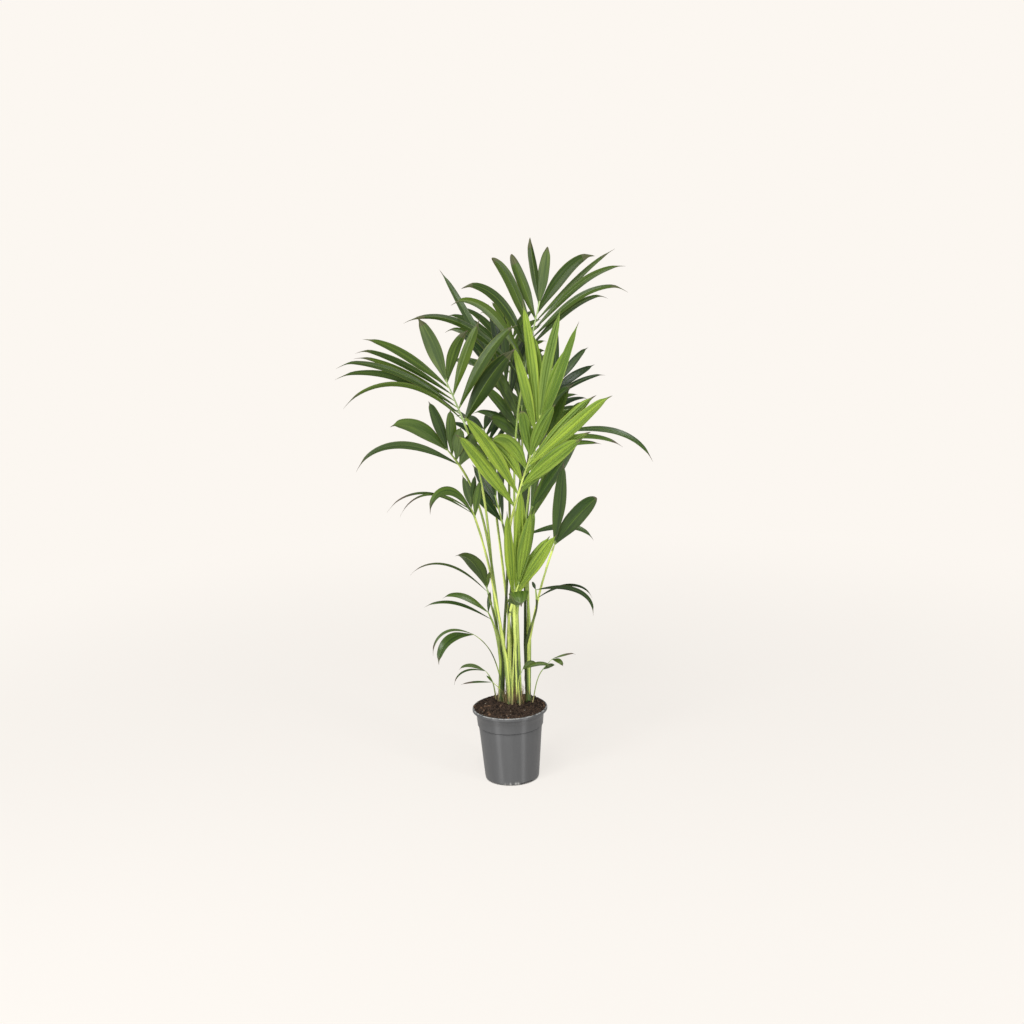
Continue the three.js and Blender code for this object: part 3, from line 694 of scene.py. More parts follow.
ROUND_STALK, ALONG_STALK = (1.5, 1.5, 1), (6, 6, 5)  # scales of the streaks round a stalk and in space
STALK_DRY = (0.02, -0.03)  # heights above the soil between which a stalk's foot turns dry, in metres
CORK = (0.11, 0.08, 0.04)


def stalk_material(name, colour, flush, foot_colour):
    """Smooth green stalk skin with long pale and dark streaks, partly its own tone and partly painted light
    and shade of its sides, small corky flecks and a dry foot.
    """
    material, tree, skin = new_material(name, colour)
    section = put(tree, "ShaderNodeCombineXYZ", read_attribute(tree, "across"),
                  read_attribute(tree, "upper"), 0.0)
    skin_place = vectors(tree, "ADD", vectors(tree, "MULTIPLY", section, ROUND_STALK),
                         object_place(tree, ALONG_STALK))
    streaks = noise_of(tree, skin_place, 1.5, 3.0)
    patches = noise_of(tree, object_place(tree, (1, 1, 0.2)), 26.0, 2.0)
    flecks = noise_of(tree, object_place(tree, (1, 1, 0.35)), 900.0, 1.0)
    # Pale and dark streaks round and along the stalk: partly its own tone, partly painted highlight and
    # painted shade of its lit and shaded sides.
    tone = blend_colours(tree, ramp(tree, streaks, 0.38, 0.62), leaf_tone(colour, 0.55),
                         leaf_tone(colour, 1.2))
    tone = blend_colours(tree, ramp(tree, patches, 0.42, 0.75), tone, flush)
    tone = blend_colours(tree, ramp(tree, flecks, 0.7, 0.76), tone, CORK)
    ragged = maths(tree, "MULTIPLY_ADD", streaks, -0.05, height_of(tree, object_place(tree)))
    dry = ramp(tree, ragged, *(SOIL_HIGH.z * MM + above for above in STALK_DRY))
    tone = blend_colours(tree, dry, tone, foot_colour)
    fill(tree, skin, {"Base Color": tone, "Roughness": spread(tree, streaks, 0.3, 0.46),
                      "Specular IOR Level": 0.3, "Normal": bump(tree, streaks, 0.0002)})
    return material


SHEATH_GREEN = (-0.005, 0.035)  # heights above its dry foot between which a sheath turns green, in metres


def sheath_material(name, colour, base_colour, foot_height):
    """Old leaf sheaths: ribbed lengthwise, green above and dry and brown at the soil."""
    material, tree, skin = new_material(name, colour)
    ribs = noise_of(tree, object_place(tree, (1, 1, 0.03)), 420.0, 4.0)
    blotches = noise_of(tree, object_place(tree, (1, 1, 0.3)), 55.0, 4.0)
    ragged = maths(tree, "MULTIPLY_ADD", blotches, 0.07, height_of(tree, object_place(tree)))
    top = (SOIL_HIGH.z + foot_height) * MM
    green = ramp(tree, ragged, *(top + above for above in SHEATH_GREEN))
    tone = blend_colours(tree, ribs, shade(colour, 0.68), shade(colour, 1.3))
    tone = blend_colours(tree, ramp(tree, blotches, 0.6, 0.72), tone, shade(base_colour, 0.8))
    tone = blend_colours(tree, green, base_colour, tone)
    fill(tree, skin, {"Base Color": tone, "Roughness": spread(tree, ribs, 0.38, 0.62),
                      "Normal": bump(tree, ribs, 0.0006)})
    return material


def fibre_material(name, colour):
    """Dry, dull fibre, darker and paler along its length."""
    material, tree, skin = new_material(name, colour)
    streaks = noise_of(tree, object_place(tree, (1, 1, 0.1)), 900.0)
    tone = blend_colours(tree, streaks, shade(colour, 0.5), shade(colour, 1.5))
    fill(tree, skin, {"Base Color": tone, "Roughness": 0.85})
    return material


def soil_material(name, colour, crumb):
    """Moist peat: dark, matt and crumbling, with paler fibres in it."""
    material, tree, skin = new_material(name, colour)
    coarse = noise_of(tree, object_place(tree), 170.0, 6.0, 0.65)
    fine = noise_of(tree, object_place(tree), 900.0, 3.0, 0.7)
    tone = blend_colours(tree, coarse, shade(colour, 0.45), shade(colour, 1.5))
    tone = blend_colours(tree, ramp(tree, fine, 0.6, 0.72), tone, crumb)
    fill(tree, skin, {"Base Color": tone, "Roughness": 0.93, "Specular IOR Level": 0.25,
                      "Normal": bump(tree, fine, 0.0008, bump(tree, coarse, 0.002))})
    return material


# Where the pot is paler, in metres: down and inward from the lip's top edge, and on a worn spot of the foot.
RIM_PALE_EDGE = dict(down=0.0012, outer=0.0025, inner=0.006)
SCUFF = dict(place=(-0.001, -0.0755, 0.004), radius=0.024, height=0.014)


def plastic_material(name, colour, dust, rim_height, rim_radius):
    """Moulded grey plastic: soft satin, drawn up and down, dusty, paler in a ragged line along the lip's top
    edge and worn pale on a spot of the foot.
    """
    material, tree, skin = new_material(name, colour)
    drawn = noise_of(tree, object_place(tree, (1, 1, 0.06)), 95.0, 3.0)
    cloudy = noise_of(tree, object_place(tree), 22.0, 4.0)
    specks = noise_of(tree, object_place(tree), 480.0, 4.0, 0.7)
    place = object_place(tree)
    out = length_of(tree, vectors(tree, "MULTIPLY", place, (1, 1, 0)))
    ragged = maths(tree, "MULTIPLY_ADD", specks, 0.0016, height_of(tree, place))
    # A paler ragged line along the lip's top outer edge.
    pale_rim = product(tree, ramp(tree, ragged, rim_height - RIM_PALE_EDGE["down"], rim_height),
                       ramp(tree, out, rim_radius - RIM_PALE_EDGE["inner"], rim_radius - RIM_PALE_EDGE["outer"]),
                       ramp(tree, drawn, 0.36, 0.6))
    from_scuff = vectors(tree, "DISTANCE", place, SCUFF["place"]).node.outputs["Value"]
    foot_wear = product(tree, ramp(tree, ragged, SCUFF["height"], SCUFF["height"] * 0.4),
                        ramp(tree, from_scuff, SCUFF["radius"], SCUFF["radius"] * 0.7),
                        ramp(tree, drawn, 0.4, 0.62))
    pale_marks = maths(tree, "MAXIMUM", pale_rim, foot_wear)
    splash = product(tree, ramp(tree, specks, 0.66, 0.74), ramp(tree, cloudy, 0.5, 0.7), 0.5)
    tone = blend_colours(tree, drawn, shade(colour, 0.9), shade(colour, 1.1))
    tone = blend_colours(tree, spread(tree, cloudy, 0.0, 0.18), tone, shade(colour, 1.25))
    tone = blend_colours(tree, pale_marks, tone, dust)
    tone = blend_colours(tree, splash, tone, shade(dust, 0.6))
    matt = maths(tree, "ADD", spread(tree, cloudy, 0.4, 0.48), product(tree, pale_marks, 0.3))
    grain = put(tree, "ShaderNodeTangent", direction_type="RADIAL", axis="Z")
    fill(tree, skin, {"Base Color": tone, "Roughness": matt, "Anisotropic": 0.97,
                      "Anisotropic Rotation": 0.25, "Tangent": grain,
                      "Normal": bump(tree, specks, 0.00005, bump(tree, drawn, 0.0002))})
    return material


# ---- Settings ----


def colour_setting(name, description, default):
    return FloatVectorProperty(name=name, description=description, default=default, subtype="COLOR",
                               size=3, min=0, max=1)


def length_setting(name, description, default):
    return FloatProperty(name=name, description=description, default=default, unit="LENGTH", min=0)


def place_setting(name, description, default):
    return FloatVectorProperty(name=name, description=description, default=default, subtype="XYZ",
                               unit="LENGTH", size=3)


def number_setting(name, description, default, unit="NONE"):
    return FloatProperty(name=name, description=description, default=default, unit=unit)


class PotSettings(bpy.types.PropertyGroup):
    height: length_setting("Height", "From the floor to the top of the lip", POT_HIGH.z * MM)
    lip_radius: length_setting("Lip radius", "Outer radius of the rolled lip", POT_HIGH.x * MM)
    wall: length_setting("Wall", "Thickness of the plastic", 0.0018)
    segments: IntProperty(name="Segments", description="Faces round the pot", default=160, min=16)
    colour: colour_setting("Plastic", "Colour of the plastic", (0.088, 0.0895, 0.092))
    # Colour of the pale line along the lip's top edge and of the worn spot on the foot; darker, of the dust
    # specks.
    dust: colour_setting("Wear", "Colour of dust and wear on the rim", (0.38, 0.38, 0.37))


class SoilSettings(bpy.types.PropertyGroup):
    relief: length_setting("Relief", "How far the surface heaves", 0.0035)
    crumb: length_setting("Crumb", "Radius of the largest crumbs", 0.0052)
    crumbs: number_setting("Crumbs", "Crumbs on a square metre of soil", 125000)
    seed: IntProperty(name="Seed", description="Changes how the crumbs lie", default=7)
    colour: colour_setting("Peat", "Colour of the peat", (0.054, 0.034, 0.023))
    pale: colour_setting("Fibre", "Colour of the paler bits", (0.15, 0.09, 0.055))
    speck: colour_setting("Speck", "Colour of the rare pale grit", (0.4, 0.37, 0.31))


class StemSettings(bpy.types.PropertyGroup):
    sheath: length_setting("Sheath", "Thickness of one old leaf sheath", 0.0008)
    sides: IntProperty(name="Sides", description="Faces round a stem", default=48, min=12)
    fibres: number_setting("Fibres", "Fibres on a square metre of sheath", 24000)
    fibre_length: length_setting("Fibre length", "Length of the longest fibres", 0.042)
    colour: colour_setting("Sheath green", "Colour of the living sheaths", (0.1, 0.17, 0.035))
    brown: colour_setting("Sheath brown", "Colour of the dry foot", (0.16, 0.105, 0.05))
    fibre: colour_setting("Fibre", "Colour of the fibres", (0.27, 0.18, 0.09))


class StalkSettings(bpy.types.PropertyGroup):
    swell: number_setting("Swell", "Width against the frame's stalk", 1.12)
    channel: number_setting("Channel", "Depth of the channel, in radii", 0.35)
    # The bright and dark stalk colours are partly the stalks' age and partly painted highlight and painted
    # shade.
    bright: colour_setting("Bright", "Colour of the young stalks", (0.53, 0.62, 0.15))
    green: colour_setting("Green", "Colour of the grown stalks", (0.31, 0.42, 0.09))
    dark: colour_setting("Dark", "Colour of the oldest stalks", (0.042, 0.064, 0.014))
    rib: colour_setting("Rib", "Colour of the grown leaves' ribs", (0.36, 0.46, 0.2))
    foot: colour_setting("Foot", "Colour of the stalks at the soil", (0.4, 0.33, 0.17))


class LeafletSettings(bpy.types.PropertyGroup):
    thickness: number_setting("Thickness", "Of the blade, in half widths", 0.035)
    midrib: number_setting("Midrib", "Height of the midrib, in half widths", 0.03)
    pleat: number_setting("Pleat", "Height of the pleats, in half widths", 0.02)
    fold: number_setting("Fold", "How far the sides fall, in half widths", 0.3)
    ripple: length_setting("Ripple", "How far the margins wave", 0.0022)
    curl: number_setting("Curl", "Drop of a leaflet's tail, in lengths", 0.09)
    dry_tip: number_setting("Dry tip", "Share of a leaflet that is withered", 0.025)
    old: colour_setting("Old", "Colour of the grown leaves", (0.05, 0.091, 0.008))
    deep: colour_setting("Deep", "Colour of the shaded leaves", (0.046, 0.09, 0.014))
    fresh: colour_setting("Fresh", "Colour of the young leaves", (0.225, 0.34, 0.042))
    dry: colour_setting("Dry", "Colour of withered tips", (0.1, 0.078, 0.05))


class StageSettings(bpy.types.PropertyGroup):
    place: place_setting("Camera", "Where the camera stands", (0.025, -3.3, 1.4))
    aim: place_setting("Aim", "What the camera looks at", (0.025, 0, 0.76))
    lens: number_setting("Lens", "Focal length on a 36 mm sensor", 43.45)
    roll: FloatProperty(name="Roll", description="Turn of the camera about its own axis",
                        default=math.radians(-2), subtype="ANGLE")
    backdrop: colour_setting("Backdrop", "Colour of the room's pale light", (0.973, 0.93, 0.879))
    daylight: number_setting("Daylight", "Strength of the light from all round", 0.31)
    top: number_setting("Top light", "Power of the softbox overhead", 76.0, "POWER")
    left: number_setting("Left light", "Power of the left softbox", 48.0, "POWER")
    right: number_setting("Right light", "Power of the right softbox", 40.0, "POWER")


class PalmSettings(bpy.types.PropertyGroup):
    pot: PointerProperty(type=PotSettings)
    soil: PointerProperty(type=SoilSettings)
    stems: PointerProperty(type=StemSettings)
    stalks: PointerProperty(type=StalkSettings)
    leaflets: PointerProperty(type=LeafletSettings)
    stage: PointerProperty(type=StageSettings)


# ---- Pot ----

# Heights, in millimetres.
POT_FLOOR = 2.6
POT_CORNER_TOP = 8.0
POT_BODY_TOP = 157.0
POT_LIP_BOTTOM = 197.5
# Outer radii, from the foot up.
POT_FOOT = 69.5
POT_CORNER = 76.5
POT_BODY = 89.0
POT_COLLAR_FOOT = 92.0
POT_COLLAR = 95.5
NOTCHES = dict(count=3, width=41.0, height=6.5, depth=18.0, corner=4.0, below=3.0, turn=-57.0)


def arc(centre, radius, start, end, count):
    """Points of a circle's arc, between two angles in degrees."""
    points = []
    for k in range(count):
        x, y = on_circle(radius, math.radians(start + (end - start) * k / (count - 1)))
        points.append((centre[0] + x, centre[1] + y))
    return points


def pot_profile(height, lip, wall):
    """The pot's section, from the middle of its underside out, up and back down inside."""
    return [
        (0, 1.4), (58, 1.4), (59.5, 0.9), (60.5, 0), (POT_FOOT, 0),
        *arc((POT_FOOT, 7), 7, -80, -8, 8),
        (POT_CORNER, POT_CORNER_TOP), (79.7, 45), (83, 85), (86, 122),
        (POT_BODY, POT_BODY_TOP - 4), (POT_BODY - 0.1, POT_BODY_TOP - 2.8),
        (POT_BODY - 1.1, POT_BODY_TOP - 2.2), (POT_BODY - 1.3, POT_BODY_TOP + 0.4),
        (POT_COLLAR_FOOT - 0.7, POT_BODY_TOP - 0.2), (POT_COLLAR_FOOT, POT_BODY_TOP + 0.4),
        (POT_COLLAR_FOOT + 0.1, POT_BODY_TOP + 3), (93.7, 177), (POT_COLLAR - 1.1, 185.6),
        (POT_COLLAR - 0.4, 186.6), (POT_COLLAR - 0.2, 188),
        (POT_COLLAR, POT_LIP_BOTTOM - 2.4), (POT_COLLAR + 1.4, POT_LIP_BOTTOM - 0.9),
        *arc((lip - 1.6, POT_LIP_BOTTOM + 1.6), 1.6, -90, 0, 5),
        *arc((lip - 3.2, height - 3.2), 3.2, 4, 86, 8),
        *arc((POT_COLLAR + 2.6, height - 4), 4, 92, 168, 7),
        (POT_COLLAR - wall, POT_LIP_BOTTOM - 2), (POT_COLLAR_FOOT - wall, POT_BODY_TOP + 2),
        (POT_BODY - wall - 1.1, POT_BODY_TOP), (POT_CORNER - wall, POT_CORNER_TOP),
        (POT_FOOT, POT_FLOOR), (0, POT_FLOOR),
    ]


def turned(profile, segments):
    """A closed mesh from a profile that starts and ends on the axis, in millimetres."""
    inner = profile[1:-1]
    points = [(0, 0, profile[0][1]), (0, 0, profile[-1][1])]
    for bearing in bearings(segments):
        points += [(*on_circle(radius, bearing), z) for radius, z in inner]
    faces = []
    count = len(inner)
    for k in range(segments):
        here, after = 2 + k * count, 2 + (k + 1) % segments * count
        faces.append((0, after, here))
        for row in range(count - 1):
            faces.append((here + row, after + row, after + row + 1, here + row + 1))
        faces.append((here + count - 1, after + count - 1, 1))
    return points, faces


def notch_cutters():
    """Rounded blocks that cut the drainage notches out of the base's edge."""
    half, height, depth = NOTCHES["width"] / 2, NOTCHES["height"], NOTCHES["depth"] / 2
    corner, below = NOTCHES["corner"], NOTCHES["below"]
    arch = [(-half, -below), (half, -below), (half, height - corner)]
    arch += arc((half - corner, height - corner), corner, 10, 90, 5)
    arch += arc((corner - half, height - corner), corner, 90, 170, 5)
    arch += [(-half, height - corner)]
    cutters = bmesh.new()
    for k in range(NOTCHES["count"]):
        spin = Matrix.Rotation(math.radians(NOTCHES["turn"] + 360 * k / NOTCHES["count"]), 4, "Z")
        ends = [[cutters.verts.new(spin @ Vector((POT_CORNER + reach, y, z)) * MM) for y, z in arch]
                for reach in (-depth, depth)]
        cutters.faces.new(ends[0][::-1])
        cutters.faces.new(ends[1])
        for j in range(len(arch)):
            after = (j + 1) % len(arch)
            cutters.faces.new((ends[0][j], ends[0][after], ends[1][after], ends[1][j]))
    bmesh.ops.recalc_face_normals(cutters, faces=cutters.faces)
    mesh = bpy.data.meshes.new("notches")
    cutters.to_mesh(mesh)
    cutters.free()
    return new_object("notches", mesh)


class PALM_OT_pot(bpy.types.Operator):
    """Turns the nursery pot, with its rolled lip, stepped collar and drainage notches"""

    bl_idname = "palm.pot"
    bl_label = "Nursery pot"

    def execute(self, context):
        own = context.scene.palm.pot
        profile = pot_profile(millimetres(own.height), millimetres(own.lip_radius), millimetres(own.wall))
        blank = new_object("blank", mesh_of("blank", *turned(profile, own.segments)))
        cutters = notch_cutters()
        cut = blank.modifiers.new("Notches", "BOOLEAN")
        cut.operation = "DIFFERENCE"
        cut.solver = "EXACT"
        cut.object = cutters
        context.view_layer.update()
        shape = context.evaluated_depsgraph_get()
        mesh = bpy.data.meshes.new_from_object(blank.evaluated_get(shape))
        for leftover in (blank, cutters):
            bpy.data.objects.remove(leftover)
        smooth(mesh, sharp_above=35)
        mesh.materials.clear()
        mesh.materials.append(
            plastic_material("moulded_plastic", own.colour, own.dust, own.height, own.lip_radius))
        hand_over(new_object("nursery_pot", mesh), "pot", "pot")
        return {"FINISHED"}


# ---- Soil, in millimetres ----

SOIL_SPREAD = 100.4  # radius out to which loose soil lies, over the inner edge of the lip
# Radius and height of points on the soil's mound, and of points down its side inside the pot.
SOIL_MOUND = ((0, 212.0), (58, 212.0), (80, 209.6), (94, 207.6), (SOIL_SPREAD, 206.4))
SOIL_BELOW = ((95.5, 206.15), (92.6, 203.0), (91.6, 197.0), (86.0, 156.0), (72.5, 9.0), (67.5, 3.1))
SOIL_RINGS, SOIL_SIDES = 44, 144
CALM_EDGE, CALM_SHARE = 9, 0.85  # width of the soil's edge in which its heaves die down, and by how much
# How fine each kind of heave is, and how strong.
BROAD, LUMPS, CLODS = (0.035, 0.9), (0.16, 0.55), (0.11, 0.25)


def soil_height(radius):
    """Height of the mound at a radius, before its surface is broken up."""
    return float(np.interp(radius, *zip(*SOIL_MOUND)))


def three_octaves(place, dimension):
    """Fractal noise, each octave about half as broad as the one before."""
    return noise.fractal(place, dimension, 2.1, 3)


def heave(x, y, relief):
    """How far the soil's surface stands above or below the mound."""
    place = Vector((x, y, 0))
    broad = three_octaves(place * BROAD[0], 0.9)
    lumps = three_octaves(place * LUMPS[0] + Vector((7, 3, 1)), 0.8)
    clods = noise.cell(place * CLODS[0] + Vector((2, 9, 4))) - 0.5
    return relief * (BROAD[1] * broad + LUMPS[1] * lumps + CLODS[1] * clods)


def soil_surface(relief):
    """The top of the soil as points and faces, a point in the middle and rings out to the wall."""
    points = [(0, 0, soil_height(0) + heave(0, 0, relief))]
    for r in range(1, SOIL_RINGS + 1):
        radius = SOIL_SPREAD * r / SOIL_RINGS
        calm = 1 - CALM_SHARE * smoothstep(SOIL_SPREAD - CALM_EDGE, SOIL_SPREAD, radius)
        for bearing in bearings(SOIL_SIDES):
            x, y = on_circle(radius, bearing)
            points.append((x, y, soil_height(radius) + heave(x, y, relief) * calm))
    faces = [(0, 1 + k, 1 + (k + 1) % SOIL_SIDES) for k in range(SOIL_SIDES)]
    for r in range(SOIL_RINGS - 1):
        low, high = 1 + r * SOIL_SIDES, 1 + (r + 1) * SOIL_SIDES
        for k in range(SOIL_SIDES):
            after = (k + 1) % SOIL_SIDES
            faces.append((low + k, high + k, high + after, low + after))
    return points, faces


def soil_body(relief):
    """The whole body of soil: its surface, closed down the inside of the pot."""
    points, faces = soil_surface(relief)
    top = len(points) - SOIL_SIDES
    for radius, z in SOIL_BELOW:
        start = len(points)
        for k, bearing in enumerate(bearings(SOIL_SIDES)):
            points.append((*on_circle(radius, bearing), z))
            after = (k + 1) % SOIL_SIDES
            faces.append((top + k, start + k, start + after, top + after))
        top = start
    faces.append(tuple(top + k for k in reversed(range(SOIL_SIDES))))
    return points, faces


# Crumbs are plain peat, but for those whose random kind, from 0 to 1, passes one of these tests.
CRUMB_KINDS = (("Dark", "LESS_THAN", 0.36), ("Pale", "GREATER_THAN", 0.86), ("Speck", "GREATER_THAN", 0.988))
CRUMB_TURN = (6.28, 6.28, 6.28)  # up to a full turn about each axis
CRUMB_FLATTEST, CRUMB_ROUNDEST = (0.65, 0.65, 0.5), (1.15, 1.15, 0.9)
SMALL_CRUMBS = 2.5  # the higher, the fewer crumbs are large
BREAKS = dict(scale=330.0, detail=2.0, roughness=0.6, depth=0.0032)  # how a crumb's surface is broken


def crumb_tree(name, subdivisions):
    """Scatters broken lumps over a surface."""
    tree, given = new_tree(name, {"Density": "Float", "Size": "Float", "Smallest": "Float", "Seed": "Int",
                                  "Dark": "Material", "Peat": "Material", "Pale": "Material",
                                  "Speck": "Material"})
    seed = given["Seed"]
    dots = scattered(tree, given["Geometry"], given["Density"], seed)
    ball = put(tree, "GeometryNodeMeshIcoSphere", 1.0, subdivisions)
    turn = chance(tree, (0, 0, 0), CRUMB_TURN, seed)
    squash = chance(tree, CRUMB_FLATTEST, CRUMB_ROUNDEST, seed)
    rare = maths(tree, "POWER", chance(tree, 0.0, 1.0, seed), SMALL_CRUMBS)
    size = spread(tree, rare, given["Smallest"], given["Size"])
    kind = chance(tree, 0.0, 1.0, maths(tree, "ADD", seed, 9.0))
    dots = put(tree, "GeometryNodeStoreNamedAttribute", dots, None, "kind", kind, data_type="FLOAT",
               domain="POINT")
    lumps = put(tree, "GeometryNodeInstanceOnPoints", dots, None, ball, None, None,
                rotation(tree, turn), vectors(tree, "SCALE", squash, size))
    whole = put(tree, "GeometryNodeRealizeInstances", lumps)
    place = put(tree, "GeometryNodeInputPosition")
    chaos = put(tree, "ShaderNodeTexNoise", place, BREAKS["scale"], BREAKS["detail"], BREAKS["roughness"])
    push = vectors(tree, "SUBTRACT", chaos.node.outputs["Color"], (0.5, 0.5, 0.5))
    push = vectors(tree, "SCALE", push, BREAKS["depth"])
    broken = put(tree, "GeometryNodeSetPosition", whole, None, None, push)
    skin = painted(tree, smoothed(tree, broken, subdivisions > 1), given["Peat"])
    kind = named(tree, "kind")
    for label, test, bound in CRUMB_KINDS:
        skin = painted(tree, skin, given[label], compared(tree, test, kind, bound))
    end_tree(tree, skin)
    return tree


# Each lot of loose soil: its name, how finely a lump is cut, its size against the largest crumb's and
# its share of all the crumbs.
LOOSE_SOIL = (("soil_clods", 2, 1.0, 0.15), ("soil_crumbs", 1, 0.4, 0.85))
SMALLEST_SHARE = 0.3  # of a lot's largest lump


class PALM_OT_soil(bpy.types.Operator):
    """Heaps the potting soil and scatters its crumbs"""

    bl_idname = "palm.soil"
    bl_label = "Potting soil"

    def execute(self, context):
        own = context.scene.palm.soil
        relief = millimetres(own.relief)
        mesh = mesh_of("potting_soil", *soil_body(relief))
        smooth(mesh, sharp_above=60)
        peat = soil_material("moist_peat", own.colour, own.pale)
        dark = soil_material("wet_peat", shade(own.colour, 0.35), own.colour)
        fibre = soil_material("peat_fibre", own.pale, shade(own.pale, 1.6))
        speck = soil_material("pale_speck", own.speck, shade(own.speck, 1.3))
        mesh.materials.append(peat)
        hand_over(new_object("potting_soil", mesh), "soil", "soil")
        for name, subdivisions, scale, share in LOOSE_SOIL:
            size = own.crumb * scale
            values = {"Density": own.crumbs * share, "Size": size, "Smallest": size * SMALLEST_SHARE,
                      "Seed": own.seed, "Dark": dark, "Peat": peat, "Pale": fibre,
                      "Speck": speck if name == "soil_crumbs" else fibre}
            ground = mesh_of(name, *soil_surface(relief))
            hand_over(grown(name, ground, crumb_tree(name, subdivisions), values), "soil")
        return {"FINISHED"}


# ---- Stems ----

CORE_SHARE = 0.74  # of a stem's radius, left for its inner sheaths between the stalks' own bases
FIBRE_SHARE = 1.04  # of a stem's radius, where its loose fibres lie
STEM_STEPS = 72
STEM_ROOT = (-9.0, -4.0)  # heights of a stem's lowest rings, hidden in the soil
# The dome between the stalks: each ring's size against the last ring of the stem, and its rise.
STEM_DOME = ((0.9, 2.2), (0.72, 4.5), (0.45, 6.4), (0.15, 7.4))
# The mouths of the old sheaths: the height of the first, the stretch that they take up and how far
# aslant they run, as shares of the stem's height, and the softness of their edges.
MOUTHS = dict(first=0.24, stretch=0.68, slant=0.16, edge=1.2)
LOBES = dict(height=0.7, width=0.16, start=0.25)  # ridges under the stalks, from a share of the height up
UNEVEN = dict(depth=0.45, round=1.6, along=0.03)  # how deep a stem's bumps are, and how fine each way


def stem_axis(stem):
    """A stem's foot and fork on its own axis."""
    foot = Vector((*stem["foot"], SOIL_HIGH.z + GAP))
    fork = Vector((*stem["fork"], SOIL_HIGH.z + GAP + stem["height"]))
    return foot, fork


def stem_radius(key, stem, height, turn, sheath, lobes, share):
    """A stem's radius at a height and turn: its taper, root flare, sheath mouths and lobes."""
    rise = height / stem["height"]
    radius = share * (stem["radius"] + STEM_TAPER * (1 - rise))
    radius += STEM_FLARE * math.exp(-max(height, 0) / FLARE_HEIGHT)
    for k, lobe in enumerate(lobes):
        mouth = stem["height"] * (MOUTHS["first"] + MOUTHS["stretch"] * (k + 0.5) / len(lobes))
        slant = stem["height"] * MOUTHS["slant"] * math.cos(turn - lobe)
        radius += sheath * (1 - smoothstep(-MOUTHS["edge"], MOUTHS["edge"], height - mouth - slant))
        near = math.exp(-((1 - math.cos(turn - lobe)) / LOBES["width"]))
        radius += LOBES["height"] * near * smoothstep(LOBES["start"], 1.0, rise)
    place = Vector((*on_circle(UNEVEN["round"], turn), height * UNEVEN["along"] + ord(key)))
    return radius - sheath * len(lobes) * 0.5 + UNEVEN["depth"] * three_octaves(place, 0.8)


def stem_rings(key, sheath, sides, share=CORE_SHARE):
    """Rings of a stem, from just under the soil to a dome between its stalks."""
    stem = STEMS[key]
    foot, fork = stem_axis(stem)
    lobes = [math.atan2(seat.y - fork.y, seat.x - fork.x) for seat in seats_of(key).values()]
    heights = [*STEM_ROOT, *[stem["height"] * k / STEM_STEPS for k in range(STEM_STEPS + 1)]]
    rings = []
    for height in heights:
        centre = foot + (fork - foot) * (height / stem["height"])
        ring = []
        for turn in bearings(sides):
            radius = stem_radius(key, stem, height, turn, sheath, lobes, share)
            ring.append(centre + Vector((*on_circle(radius, turn), 0)))
        rings.append(ring)
    top = rings[-1]
    for closing, rise in STEM_DOME:
        rings.append([fork + (point - fork) * closing + UP * rise for point in top])
    return rings


# One fibre of length 1: how it bends, its radius at foot and tip, and how far it may lean and turn.
STRAND_MIDDLE, STRAND_END = (0.08, 0.02, 0.5), (-0.02, -0.08, 1)
STRAND_RADII = (0.014, 0.004)
STRAND_LEANS = ((-0.3, 0.0, -3.1), (0.3, 0.22, 3.1))
SHORTEST_STRAND = 0.25  # of the longest


def fibre_tree():
    """Lays loose fibres up a stem, thickest at its foot."""
    tree, given = new_tree("Sheath fibres", {"Density": "Float", "Length": "Float", "Seed": "Int",
                                             "Low": "Float", "High": "Float", "Material": "Material"})
    seed = given["Seed"]
    height = height_of(tree, put(tree, "GeometryNodeInputPosition"))
    fade = put(tree, "ShaderNodeMapRange", height, given["Low"], given["High"], 1.0, 0.0)
    dots = scattered(tree, given["Geometry"], product(tree, fade, fade, given["Density"]), seed)
    line = put(tree, "GeometryNodeCurveQuadraticBezier", 7, (0, 0, 0), STRAND_MIDDLE, STRAND_END)
    radius = spread(tree, put(tree, "GeometryNodeSplineParameter"), *STRAND_RADII)
    ring = put(tree, "GeometryNodeCurvePrimitiveCircle", 4, 1.0)
    strand = put(tree, "GeometryNodeCurveToMesh", line, ring, radius, True)
    upward = put(tree, "FunctionNodeAlignRotationToVector", None, 1.0, dots.node.outputs["Normal"], axis="X")
    upward = put(tree, "FunctionNodeAlignRotationToVector", upward, 1.0, (0, 0, 1), axis="Z", pivot_axis="X")
    lean = rotation(tree, chance(tree, *STRAND_LEANS, seed))
    turned_by = put(tree, "FunctionNodeRotateRotation", upward, lean, rotation_space="LOCAL")
    size = product(tree, chance(tree, SHORTEST_STRAND, 1.0, seed), given["Length"])
    strands = put(tree, "GeometryNodeInstanceOnPoints", dots, None, strand, None, None, turned_by,
                  put(tree, "ShaderNodeCombineXYZ", size, size, size))
    whole = put(tree, "GeometryNodeRealizeInstances", strands)
    end_tree(tree, painted(tree, smoothed(tree, whole), given["Material"]))
    return tree


# The dark stems wear a darker copy of the sheath green: partly their own darker tone, partly painted shade
# for stems that stand in the bundle's shadow.
DARK_STEMS, FIBROUS_STEMS = "ace", "bc"  # by their letters
GREEN_FOOT, DARK_FOOT = 8.0, 14.0  # heights to which the green and the dark stems are dry
FIBRE_REACH = 70  # height above the soil at which the last fibres grow
MANY_FIBRES, FEW_FIBRES = 2, 0.4  # on the fibrous stems and on the others, against the setting


